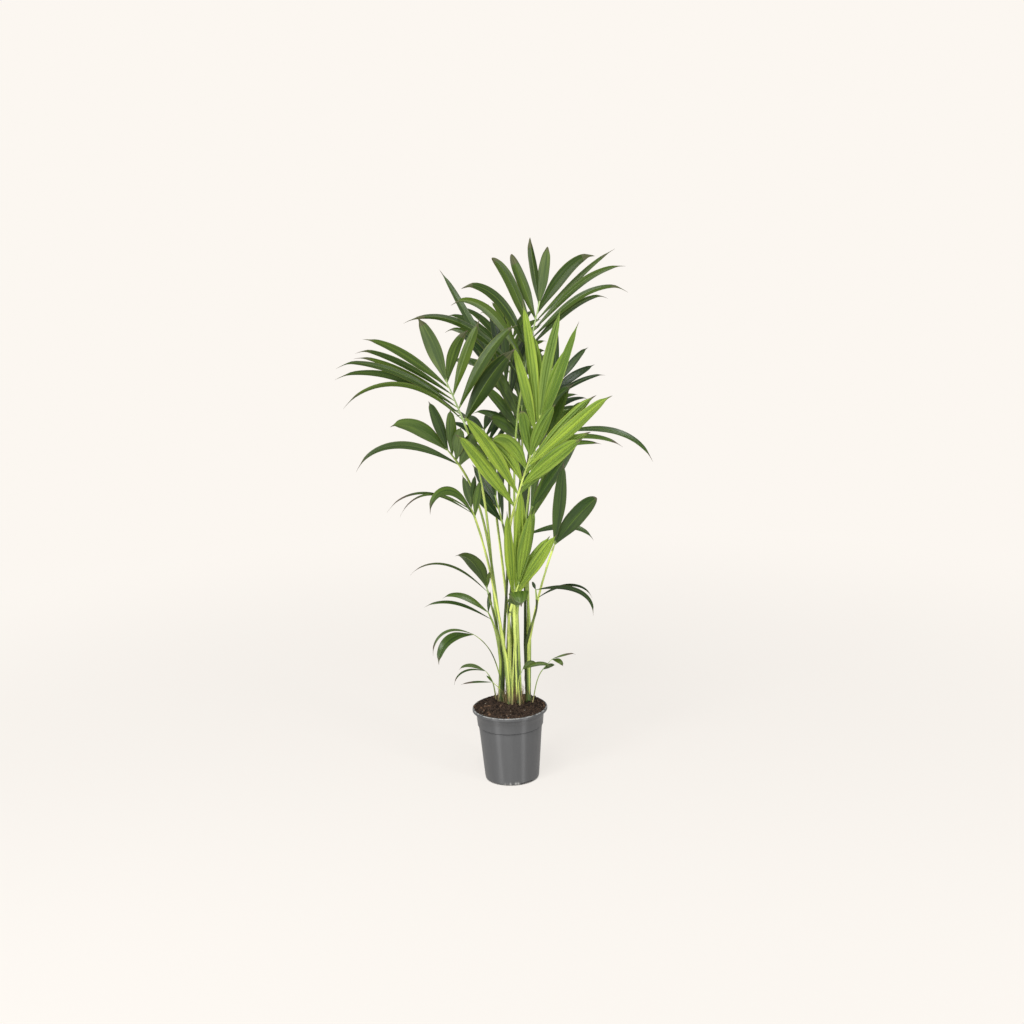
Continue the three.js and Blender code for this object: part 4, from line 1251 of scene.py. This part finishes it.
class PALM_OT_stems(bpy.types.Operator):
    """Wraps each stem in its old leaf sheaths and lays fibres at its foot"""

    bl_idname = "palm.stems"
    bl_label = "Stems"

    def execute(self, context):
        own = context.scene.palm.stems
        green = sheath_material("sheath_green", own.colour, own.brown, GREEN_FOOT)
        # A half-bright copy of the sheath green: partly the stems' own tone, partly painted shade.
        dark = sheath_material("sheath_dark", shade(own.colour, 0.5), own.brown, DARK_FOOT)
        fibre = fibre_material("sheath_fibre", own.fibre)
        tree = fibre_tree()
        for key in STEMS:
            rings = stem_rings(key, millimetres(own.sheath), own.sides)
            mesh = mesh_of(f"stem_{key}_sheaths", *loft(rings))
            smooth(mesh, sharp_above=60)
            mesh.materials.append(dark if key in DARK_STEMS else green)
            density = own.fibres * (MANY_FIBRES if key in FIBROUS_STEMS else FEW_FIBRES)
            values = {"Density": density, "Length": own.fibre_length, "Seed": ord(key),
                      "Low": SOIL_HIGH.z * MM, "High": (SOIL_HIGH.z + FIBRE_REACH) * MM, "Material": fibre}
            wrap = stem_rings(key, millimetres(own.sheath), own.sides, FIBRE_SHARE)
            fibres = grown(f"stem_{key}_fibres", mesh_of("wrap", *loft(wrap)), tree, values)
            hand_over(new_object(f"stem_{key}_sheaths", mesh), "stem", f"stem_{key}")
            hand_over(fibres, "stem")
        return {"FINISHED"}


# ---- Stalks and ribs ----

STALK_STEPS = 30
RIB_STEPS = 16
SINK = 0.97  # share of the stem's height down which a stalk's base runs on
BASE_REACH, BASE_RADIUS = 0.6, 0.46  # of the stem's radius, at a stalk's lowest point
BASE_STEPS = 8
BASE_SWELL = 1.12  # of a stalk's base, against its foot
NECK_SWELL, NECK_SHARE = 0.12, 0.06  # extra width where a stalk sets off, and how soon it is gone
SEEDLING_ROOT = 10  # how far a leaf without a stem reaches down into the soil
CHANNEL_RISE = 0.5  # how far a stalk's channel looks up as well as inward, low on the stalk
CHANNEL_TURN = (0.45, 0.75)  # shares of a stalk's stations between which its channel turns to the blade


def stalk_path(one, seat):
    """Stations from a stalk's base to its leaf's crest, each a place and a radius."""
    stem = STEMS.get(one["rises"])
    foot_radius = STALK_FOOT if stem else SEEDLING_FOOT
    heart_radius = STALK_TIP if stem else SEEDLING_TIP
    stations = []
    if stem:
        foot, fork = stem_axis(stem)
        outward = Vector((seat.x - fork.x, seat.y - fork.y, 0))
        for k in range(BASE_STEPS, 0, -1):
            share = k / BASE_STEPS
            spread_out = outward.length + (BASE_REACH * stem["radius"] - outward.length) * share
            place = fork.lerp(foot, share * SINK) + outward.normalized() * spread_out
            place.z += (seat.z - fork.z) * (1 - share)
            radius = foot_radius + (BASE_RADIUS * stem["radius"] - foot_radius) * share
            stations.append((place, radius * BASE_SWELL))
    else:
        stations.append((seat - UP * SEEDLING_ROOT, foot_radius))
    controls = stalk_controls(one, seat)
    for k in range(STALK_STEPS):
        share = k / STALK_STEPS
        radius = foot_radius + (heart_radius - foot_radius) * share
        swollen = 1 + NECK_SWELL * math.exp(-share / NECK_SHARE)
        stations.append((bezier(controls, share), radius * swollen))
    ribs = rib_controls(one)
    for k in range(RIB_STEPS + 1):
        share = k / RIB_STEPS
        stations.append((bezier(ribs, share), heart_radius * (1 + (RIB_TIP_SHARE - 1) * share)))
    return stations


def rib_shares(stations):
    """0 for each of a stalk's stations and 1 for each of its rib's."""
    return [0] * (len(stations) - RIB_STEPS - 1) + [1] * (RIB_STEPS + 1)


def facing_along(one, seat, stations):
    """For each station, the direction its upper side faces: inward low down, and the blade's on the rib."""
    outward = one["heart"] - seat
    inner = UP * CHANNEL_RISE - Vector((outward.x, outward.y, 0)).normalized()
    facings = []
    last = len(stations) - 1
    for k in range(len(stations)):
        tangent = (stations[min(k + 1, last)][0] - stations[max(k - 1, 0)][0]).normalized()
        blade = blade_normal(one, tangent)
        to_blade = smoothstep(*CHANNEL_TURN, k / last)
        facing = (inner - tangent * inner.dot(tangent)).normalized().lerp(blade, to_blade)
        facings.append((facing - tangent * facing.dot(tangent)).normalized())
    return facings


def path_mesh(name, paths):
    """Edges along several paths, each a dictionary of their places and of what else each point holds."""
    points, edges = [], []
    for path in paths:
        start = len(points)
        points += path["place"]
        edges += [(k, k + 1) for k in range(start, len(points) - 1)]
    mesh = mesh_of(name, points, [], edges)
    for label in paths[0]:
        if label != "place":
            kind = "FLOAT_VECTOR" if label == "facing" else "FLOAT"
            give_attribute(mesh, label, [value for path in paths for value in path[label]], kind)
    return mesh


def section_object(name, points, across, upper):
    """A closed section that a tree sweeps along paths, with how far across and how high each point is.

    Each point is given as across and up. The sweep lays a section's first axis along the way it faces.
    """
    points, across, upper = points[::-1], across[::-1], upper[::-1]
    count = len(points)
    mesh = mesh_of(name, [(y / MM, x / MM, 0) for x, y in points], [],
                   [(k, (k + 1) % count) for k in range(count)])
    give_attribute(mesh, "across", across)
    give_attribute(mesh, "upper", upper)
    return new_object(name, mesh)


def swept(tree, given):
    """The paths of the input swept with the section given, facing as their points say."""
    facing_curves = tree.nodes.new("GeometryNodeSetCurveNormal")
    facing_curves.mode = "FREE"
    fill(tree, facing_curves, {"Curve": put(tree, "GeometryNodeMeshToCurve", given["Geometry"]),
                               "Normal": named(tree, "facing", "FLOAT_VECTOR")})
    held = put(tree, "GeometryNodeObjectInfo", given["Section"]).node.outputs["Geometry"]
    section = put(tree, "GeometryNodeMeshToCurve", held)
    return put(tree, "GeometryNodeCurveToMesh", facing_curves.outputs[0], section, named(tree, "size"), True)


def stalk_tree():
    """Sweeps a channelled stalk along each path."""
    tree, given = new_tree("Leaf stalk", {"Section": "Object", "Stalk": "Material", "Rib": "Material"})
    skin = painted(tree, smoothed(tree, swept(tree, given)), given["Stalk"])
    on_rib = compared(tree, "GREATER_THAN", named(tree, "rib"), 0.5)
    end_tree(tree, painted(tree, skin, given["Rib"], on_rib))
    return tree


STALK_SIDES = 14


def stalk_section(channel):
    """A round section in radii, with a channel along its upper side."""
    points = []
    for turn in bearings(STALK_SIDES):
        x, y = on_circle(1, turn)
        points.append((x, y - channel * max(0.0, y) ** 3))
    return section_object("stalk_section", points, [x for x, _ in points], [y for _, y in points])


# Leaves on a young, bright stalk and on an old, dark one; the others have a green one. The bright and the
# dark are partly age and partly painted light and shade: highlights on the bright ones, and the shaded gaps
# at the back of the bundle on the dark ones.
BRIGHT_STALKS = ("front", "spider", "inner", "right_back", "right_pair", "folded", "low_right_a", "back_left")
DARK_STALKS = ("centre_left", "upper_left", "left_pair", "under_right", "right_low", "back_right", "left_low",
               "low_left_b")


class PALM_OT_stalks(bpy.types.Operator):
    """Grows every leaf stalk and its rib in one sweep, from the stem to the leaf's crest"""

    bl_idname = "palm.stalks"
    bl_label = "Leaf stalks"

    def execute(self, context):
        own = context.scene.palm.stalks
        tree = stalk_tree()
        section = stalk_section(own.channel)
        # Bright, green and dark stalk skins: partly the stalks' age, partly painted highlight and painted
        # shade.
        bright = stalk_material("stalk_bright", own.bright, shade(own.bright, 1.35), own.foot)
        green = stalk_material("stalk_green", own.green, shade(own.bright, 0.8), own.foot)
        dark = stalk_material("stalk_dark", own.dark, own.green, own.foot)
        pale = stalk_material("rib_pale", own.rib, shade(own.rib, 1.3), own.foot)
        tints = {**dict.fromkeys(BRIGHT_STALKS, bright), **dict.fromkeys(DARK_STALKS, dark)}
        ribs = {"old": pale, "deep": green, "fresh": bright}
        seats = {name: seat for key in STEMS for name, seat in seats_of(key).items()}
        for one in LEAVES:
            name = one["name"]
            seat = seats[name] if name in seats else Vector((*one["rises"], SOIL_HIGH.z + GAP))
            stations = stalk_path(one, seat)
            path = dict(place=[place for place, _ in stations],
                        size=[radius * own.swell * MM for _, radius in stations],
                        facing=[tuple(facing) for facing in facing_along(one, seat, stations)],
                        rib=rib_shares(stations))
            values = {"Section": section, "Stalk": tints.get(name, green), "Rib": ribs[one["shade"]]}
            piece = grown(f"{name}_stalk", path_mesh(name, [path]), tree, values)
            hand_over(piece, "stalk", f"stalk_{name}")
        bpy.data.objects.remove(section)
        return {"FINISHED"}


# ---- Leaflets ----

# Where along a leaflet its skin has a ring, closer together at the root and at the tip.
STATIONS = (0, 0.012, 0.025, 0.045, 0.07, 0.1, 0.135, 0.17, 0.21, 0.25, 0.29, 0.33, 0.37, 0.41, 0.45, 0.49,
            0.53, 0.57, 0.61, 0.65, 0.69, 0.73, 0.77, 0.81, 0.85, 0.885, 0.915, 0.94, 0.96, 0.975, 0.987,
            0.995, 1)
COLUMNS = (0.93, 0.8, 0.64, 0.48, 0.32, 0.17, 0.05)  # of the half width, from the margin to the midrib
TINTS = 3  # tones of blade in each shade
FROND_SLOTS = {"old": "frond_old", "deep": "frond_deep", "fresh": "frond_fresh"}
TIP_SHARE = {"old": 0.09, "deep": 0.05, "fresh": 0.03}  # of a leaflet, turned brown before its dry tip
# Leaves whose leaflets are mostly lighter or darker than their shade's own mix: partly their own tone and
# partly painted light and shade, such as the inner leaf, lightened against the shade of the leaves above it.
TINT_AND_LIGHT_SHIFT = {"right_pair": -0.8, "centre": 1.2, "left_mid": 0.8, "spear": 0.7, "inner": 0.8, "crown": -0.8,
              "centre_left": -0.6, "folded": 0.6}
WIDE, SLENDER = 22, 8  # a leaflet as wide as this withers only at its tip, a slender one further down
BLUNT_DRY = 0.3  # of a keen leaflet's withered tip, what a blunt one has
BOW = 0.012  # how far a leaflet bows within its blade, in lengths
# A keen leaflet's thin tail: where it sets in, where it is thin, where its curl would end, and how
# much it narrows.
TAIL = dict(start=0.86, thin=0.95, end=1.1, pinch=0.6)
ROOT_PINCH, ROOT_RUN = 0.35, 0.02  # how much a leaflet narrows at its root, and how soon that is gone
LEAST_HALF = 0.25  # half width that no leaflet is thinner than
KEEL_DEPTH, KEEL_RUN = 0.0009, 0.03  # the plump keel under a leaflet's root, in metres, and its stretch
FOLD_END, FOLD_OPENING = 1.6, 1.3  # how steeply a leaflet folds at its ends, and how far it opens between
PLEAT_FADE, EDGE_FADE = 6, 8  # the higher, the nearer the margin the pleats and the thickness end
# Pleats of the grown and of the young leaves: height against the setting, and folds in half a leaflet.
FLAT_PLEATS, DEEP_PLEATS = (1.0, 6), (4.5, 4)


def blade_section(own, pleats):
    """A leaflet's section in half widths: a raised midrib on top, pleats, and keen margins."""
    height, folds = pleats
    pleat = own.pleat * height
    half_tops = []
    for column in COLUMNS:
        rise = pleat * math.cos(math.pi * folds * (1 - column)) * (1 - column ** PLEAT_FADE)
        half_tops.append((column, own.thickness * 0.5 * (1 - column ** EDGE_FADE) + rise))
    ridge = (0.0, own.thickness * 0.5 + own.midrib)
    top = [(1.0, 0.0), *half_tops, ridge, *[(-x, y) for x, y in reversed(half_tops)], (-1.0, 0.0)]
    under = [(x, y - own.thickness * (1 - x ** EDGE_FADE)) for x, y in half_tops]
    keel = (0.0, -own.thickness * 0.9)
    below = [*[(-x, y) for x, y in under], keel, *reversed(under)]
    points = top + below
    upper = [0.5, *[1] * (len(top) - 2), 0.5, *[0] * len(below)]
    return section_object("blade_section", points, [x for x, _ in points], upper)


def between(spine, share):
    """The place and axes of a leaflet's midrib at a share of its length, on a smooth line."""
    place = share * LEAFLET_STEPS
    k = min(int(place), LEAFLET_STEPS - 1)
    t = place - k
    (p0, d0, a0), (p1, d1, a1) = spine[k], spine[k + 1]
    step = (p1 - p0).length
    point = (p0 * (2 * t ** 3 - 3 * t ** 2 + 1) + d0 * (step * (t ** 3 - 2 * t ** 2 + t))
             + p1 * (3 * t ** 2 - 2 * t ** 3) + d1 * (step * (t ** 3 - t ** 2)))
    return point, d0.lerp(d1, t).normalized(), a0.lerp(a1, t).normalized()


def leaflet_path(one, each, own):
    """A leaflet's midrib with all that the sweeping tree reads."""
    seed, length = each["seed"], each["length"]
    bow = BOW * length * wobble(seed, 6)
    keen = 1 - each["blunt"]
    dry = own.dry_tip * (1.2 + wobble(seed, 7)) + each["dry"] * smoothstep(WIDE, SLENDER, each["width"])
    dry *= BLUNT_DRY + (1 - BLUNT_DRY) * keen
    tip = dry + TIP_SHARE[one["shade"]] * (1 + 0.6 * wobble(seed, 10))
    curl = own.curl * length * keen * max(0.0, 0.4 + 0.6 * wobble(seed, 9))
    # A leaflet's blade tone, dealt at random and then shifted for its leaf, partly as painted light and
    # shade.
    tint = (wobble(seed, 8) + 1) / 2 * TINTS + TINT_AND_LIGHT_SHIFT.get(one["name"], 0)
    tint = min(max(tint, 0.01), TINTS * 0.999)
    path = {}
    for share in STATIONS:
        point, direction, across = between(each["spine"], share)
        upper = across.cross(direction) * each["side"]
        point = point + across * (bow * math.sin(math.pi * share) ** 2)
        half = 0.5 * each["width"] * width_share(share, each["blunt"])
        half *= 1 - ROOT_PINCH * math.exp(-share / ROOT_RUN)
        half *= 1 - TAIL["pinch"] * keen * smoothstep(TAIL["start"], TAIL["thin"], share)
        sag = curl * (1 - abs(direction.z)) * smoothstep(TAIL["start"], TAIL["end"], share)
        here = dict(place=point - UP * sag, size=max(half, LEAST_HALF) * MM, facing=tuple(upper),
                    along=share, tint=tint, tip=1 - tip, dry=1 - dry,
                    fold=own.fold * (FOLD_END - FOLD_OPENING * math.sin(math.pi * share)),
                    plump=math.exp(-share / KEEL_RUN) * KEEL_DEPTH)
        for label, value in here.items():
            path.setdefault(label, []).append(value)
    return path


FOLD_POWER = 1.35
RIPPLE_SCALE = 24.0
FULL_RIPPLE = 0.012  # half width, in metres, from which a leaflet ripples fully
KEEN_EDGE = 70  # degrees above which an edge of a leaflet isn't smoothed
RIDGE, MARGIN = 0.03, 0.94  # ends of the midrib and of the blade, from the middle out
ROOT_END = 0.04  # share of a leaflet that is pale at its root
FRAY = 0.03  # how much lower the brown of a tip starts at the margins


def leaflet_tree():
    """Sweeps leaflets along their midribs, folds and ripples them, and deals out their skins."""
    skins = [f"Blade {k}" for k in range(TINTS)] + ["Underside", "Midrib", "Root", "Margin", "Tip", "Dry"]
    tree, given = new_tree("Leaflets", {"Section": "Object", "Ripple": "Float",
                                        **{skin: "Material" for skin in skins}})
    blades = swept(tree, given)
    out = maths(tree, "ABSOLUTE", named(tree, "across"))
    facing = named(tree, "facing", "FLOAT_VECTOR")
    half = named(tree, "size")
    fall = product(tree, named(tree, "fold"), half, maths(tree, "POWER", out, FOLD_POWER))
    place = put(tree, "GeometryNodeInputPosition")
    waves = maths(tree, "SUBTRACT", put(tree, "ShaderNodeTexNoise", place, RIPPLE_SCALE, 1.0), 0.5)
    wide = maths(tree, "MINIMUM", maths(tree, "DIVIDE", half, FULL_RIPPLE), 1.0)
    ripple = product(tree, waves, given["Ripple"], product(tree, maths(tree, "POWER", out, 2.0), wide))
    below = maths(tree, "SUBTRACT", 1.0, named(tree, "upper"))
    plump = product(tree, named(tree, "plump"), below)
    rise = maths(tree, "SUBTRACT", maths(tree, "SUBTRACT", ripple, fall), plump)
    shaped = put(tree, "GeometryNodeSetPosition", blades, None, None, vectors(tree, "SCALE", facing, rise))

    edge_angle = put(tree, "GeometryNodeInputMeshEdgeAngle")
    keen = compared(tree, "GREATER_THAN", edge_angle, math.radians(KEEN_EDGE))
    shell = put(tree, "GeometryNodeSetShadeSmooth", smoothed(tree, shaped), keen, False, domain="EDGE")

    on_top = compared(tree, "GREATER_THAN", named(tree, "upper"), 0.6)
    length = named(tree, "along")
    frayed = maths(tree, "MULTIPLY_ADD", product(tree, out, out), FRAY, length)
    looks = {}
    for k in range(TINTS):
        tinted = compared(tree, "GREATER_THAN", named(tree, "tint"), float(k))
        looks[f"Blade {k}"] = both(tree, on_top, tinted)
    looks["Midrib"] = both(tree, on_top, compared(tree, "LESS_THAN", out, RIDGE))
    looks["Margin"] = compared(tree, "GREATER_THAN", out, MARGIN)
    looks["Root"] = compared(tree, "LESS_THAN", length, ROOT_END)
    looks["Tip"] = compared(tree, "GREATER_THAN", frayed, named(tree, "tip"))
    looks["Dry"] = compared(tree, "GREATER_THAN", frayed, named(tree, "dry"))
    skin = painted(tree, shell, given["Underside"])
    for label, where in looks.items():
        skin = painted(tree, skin, given[label], where)
    end_tree(tree, skin)
    return tree


# Each shade's skins: how clear and how rough they are, and the tones of their blades.
LEAF_LOOKS = {
    "old": (0.14, 0.36, (0.72, 1.0, 1.3)),
    "deep": (0.1, 0.32, (0.42, 0.9, 1.5)),
    "fresh": (0.28, 0.44, (0.74, 1.0, 1.25)),
}
GLOW = 1.9  # how much brighter the light let through is than the leaf's own colour
THICK = 0.05  # share of light let through by midribs, roots and browned tips
GREY_DOWN = (0.12, 0.16, 0.06)  # in the colour of the undersides
MARGIN_TAN = (0.16, 0.13, 0.04)
ROOT_GREEN = (0.3, 0.42, 0.12)
ROOT_ROUGHNESS = 0.45


def leaf_skins(own):
    """The materials of each shade's leaflets, by the leaflet tree's input names."""
    dry = dry_material("leaf_dry", own.dry)
    skins = {}
    for name, (clear, roughness, tones) in LEAF_LOOKS.items():
        colour = tuple(getattr(own, name))
        glow = shade(colour, GLOW)
        kinds = {f"Blade {k}": (leaf_tone(colour, tone), clear, roughness) for k, tone in enumerate(tones)}
        kinds["Underside"] = (mix(shade(colour, 1.3), GREY_DOWN, 0.45), clear, roughness + 0.15)
        kinds["Midrib"] = (leaf_tone(colour, 1.0 if name == "fresh" else 1.35), THICK, roughness)
        kinds["Margin"] = (mix(leaf_tone(colour, 1.3), MARGIN_TAN, 0.4), clear, roughness + 0.1)
        kinds["Tip"] = (mix(colour, own.dry, 0.5), THICK, roughness + 0.1)
        kinds["Root"] = (shade(ROOT_GREEN, 0.6 + colour[1]), THICK, ROOT_ROUGHNESS)
        skins[name] = {"Dry": dry}
        for label, (tone, light, rough) in kinds.items():
            title = f"leaf_{name}_{label.lower().removeprefix('blade ')}"
            skins[name][label] = leaf_material(title, tone, glow, light, rough)
    return skins


class PALM_OT_leaflets(bpy.types.Operator):
    """Grows the leaflets of every frond along its rib"""

    bl_idname = "palm.leaflets"
    bl_label = "Leaflets"

    def execute(self, context):
        own = context.scene.palm.leaflets
        skins = leaf_skins(own)
        tree = leaflet_tree()
        flat = blade_section(own, FLAT_PLEATS)
        folded = blade_section(own, DEEP_PLEATS)
        for one in LEAVES:
            name = one["name"]
            paths = [leaflet_path(one, each, own) for each in settled_leaflets(one)]
            section = folded if one["shade"] == "fresh" else flat
            values = {"Section": section, "Ripple": own.ripple, **skins[one["shade"]]}
            piece = grown(f"{name}_leaflets", path_mesh(name, paths), tree, values)
            hand_over(piece, FROND_SLOTS[one["shade"]], f"frond_{name}")
        for section in (flat, folded):
            bpy.data.objects.remove(section)
        return {"FINISHED"}


# ---- Stage ----

COOL_WHITE = (0.94, 0.97, 1.0)  # what the light from all round looks like, except to the camera
FLOOR_RADIUS = 14
FLOOR_NEAR, FLOOR_FAR = 0.1, 3.4  # between these radii the floor fades into the room
FLOOR_GLOW = 0.78  # share of the room's own colour in the floor next to the pot
SHADED_FLOOR = 0.0735  # radius within which the floor has none of it, because the pot stands there
SHADE_EDGE = 0.003
# Each softbox: its place, what it is aimed at, and its width and height.
SOFTBOXES = {
    "top": ((-0.5, -1.7, 3.6), (0, 0, 0.9), (1.2, 1.2)),
    "left": ((-2.1, -2.1, 1.15), (0, 0, 0.75), (0.8, 2.2)),
    "right": ((2.2, -2.2, 1.15), (0, 0, 0.7), (0.4, 2.2)),
}


def floor_material(colour):
    """A pale floor that fades into the colour of the room round it."""
    material, tree, skin = new_material("pale_floor", colour)
    fill(tree, skin, {"Base Color": (*shade(colour, 0.86), 1), "Roughness": 0.95, "Specular IOR Level": 0.05})
    glow = tree.nodes.new("ShaderNodeEmission")
    fill(tree, glow, {"Color": (*colour, 1)})
    away = length_of(tree, object_place(tree))
    share = product(tree, spread(tree, ramp(tree, away, FLOOR_NEAR, FLOOR_FAR), FLOOR_GLOW, 1.0),
                    ramp(tree, away, SHADED_FLOOR, SHADED_FLOOR + SHADE_EDGE))
    show_mixed(tree, share, skin, glow)
    return material


def turned_towards(place, aim):
    """The turn that points a camera or a lamp from its place to its aim."""
    return (Vector(aim) - Vector(place)).to_track_quat("-Z", "Y")


def softbox(name, place, aim, size, power):
    """A rectangular area light."""
    lamp = bpy.data.lights.new(name, "AREA")
    lamp.shape = "RECTANGLE"
    lamp.size, lamp.size_y = size
    lamp.energy = power
    holder = new_object(name, lamp)
    holder.location = place
    holder.rotation_euler = turned_towards(place, aim).to_euler()


class PALM_OT_stage(bpy.types.Operator):
    """Sets up the camera, a pale floor and plain soft studio light"""

    bl_idname = "palm.stage"
    bl_label = "Stage"

    def execute(self, context):
        own = context.scene.palm.stage
        camera = bpy.data.cameras.new("camera")
        camera.lens = own.lens
        holder = new_object("camera", camera)
        holder.location = own.place
        holder.rotation_mode = "QUATERNION"
        holder.rotation_quaternion = turned_towards(own.place, own.aim) @ Quaternion((0, 0, 1), own.roll)
        context.scene.camera = holder

        colour = tuple(own.backdrop)
        disc = bmesh.new()
        bmesh.ops.create_circle(disc, cap_ends=True, segments=96, radius=FLOOR_RADIUS)
        mesh = bpy.data.meshes.new("floor")
        disc.to_mesh(mesh)
        disc.free()
        mesh.materials.append(floor_material(colour))
        floor = new_object("floor", mesh)

        world = bpy.data.worlds.new("room")
        world.use_nodes = True
        tree = world.node_tree
        background = tree.nodes["Background"]
        seen = tree.nodes.new("ShaderNodeLightPath").outputs["Is Camera Ray"]
        fill(tree, background, {"Color": blend_colours(tree, seen, COOL_WHITE, colour),
                                "Strength": spread(tree, seen, own.daylight, 1.0)})
        context.scene.world = world
        context.scene.view_settings.view_transform = "Standard"
        for side, (place, aim, size) in SOFTBOXES.items():
            softbox(f"{side}_light", place, aim, size, getattr(own, side))
        return {"FINISHED"}


# ---- Panel and registration ----

PIECES = (PALM_OT_stage, PALM_OT_pot, PALM_OT_soil, PALM_OT_stems, PALM_OT_stalks, PALM_OT_leaflets)


class PALM_PT_pieces(bpy.types.Panel):
    """Lists the palm's pieces and their settings"""

    bl_idname = "PALM_PT_pieces"
    bl_label = "Kentia palm"
    bl_space_type = "VIEW_3D"
    bl_region_type = "UI"
    bl_category = "Palm"

    def draw(self, context):
        for piece in PIECES:
            self.layout.operator(piece.bl_idname)
        for group in PalmSettings.__annotations__:
            box = self.layout.box()
            box.label(text=group.capitalize())
            own = getattr(context.scene.palm, group)
            for setting in type(own).__annotations__:
                box.prop(own, setting)


CLASSES = (PotSettings, SoilSettings, StemSettings, StalkSettings, LeafletSettings, StageSettings,
           PalmSettings, *PIECES, PALM_PT_pieces)


def register():
    for each in CLASSES:
        bpy.utils.register_class(each)
    bpy.types.Scene.palm = PointerProperty(type=PalmSettings)


def unregister():
    del bpy.types.Scene.palm
    for each in reversed(CLASSES):
        bpy.utils.unregister_class(each)


def main():
    """Builds every piece in order."""
    register()
    bpy.ops.palm.stage()
    bpy.ops.palm.pot()
    bpy.ops.palm.soil()
    bpy.ops.palm.stems()
    bpy.ops.palm.stalks()
    bpy.ops.palm.leaflets()


if __name__ == "__main__":
    main()
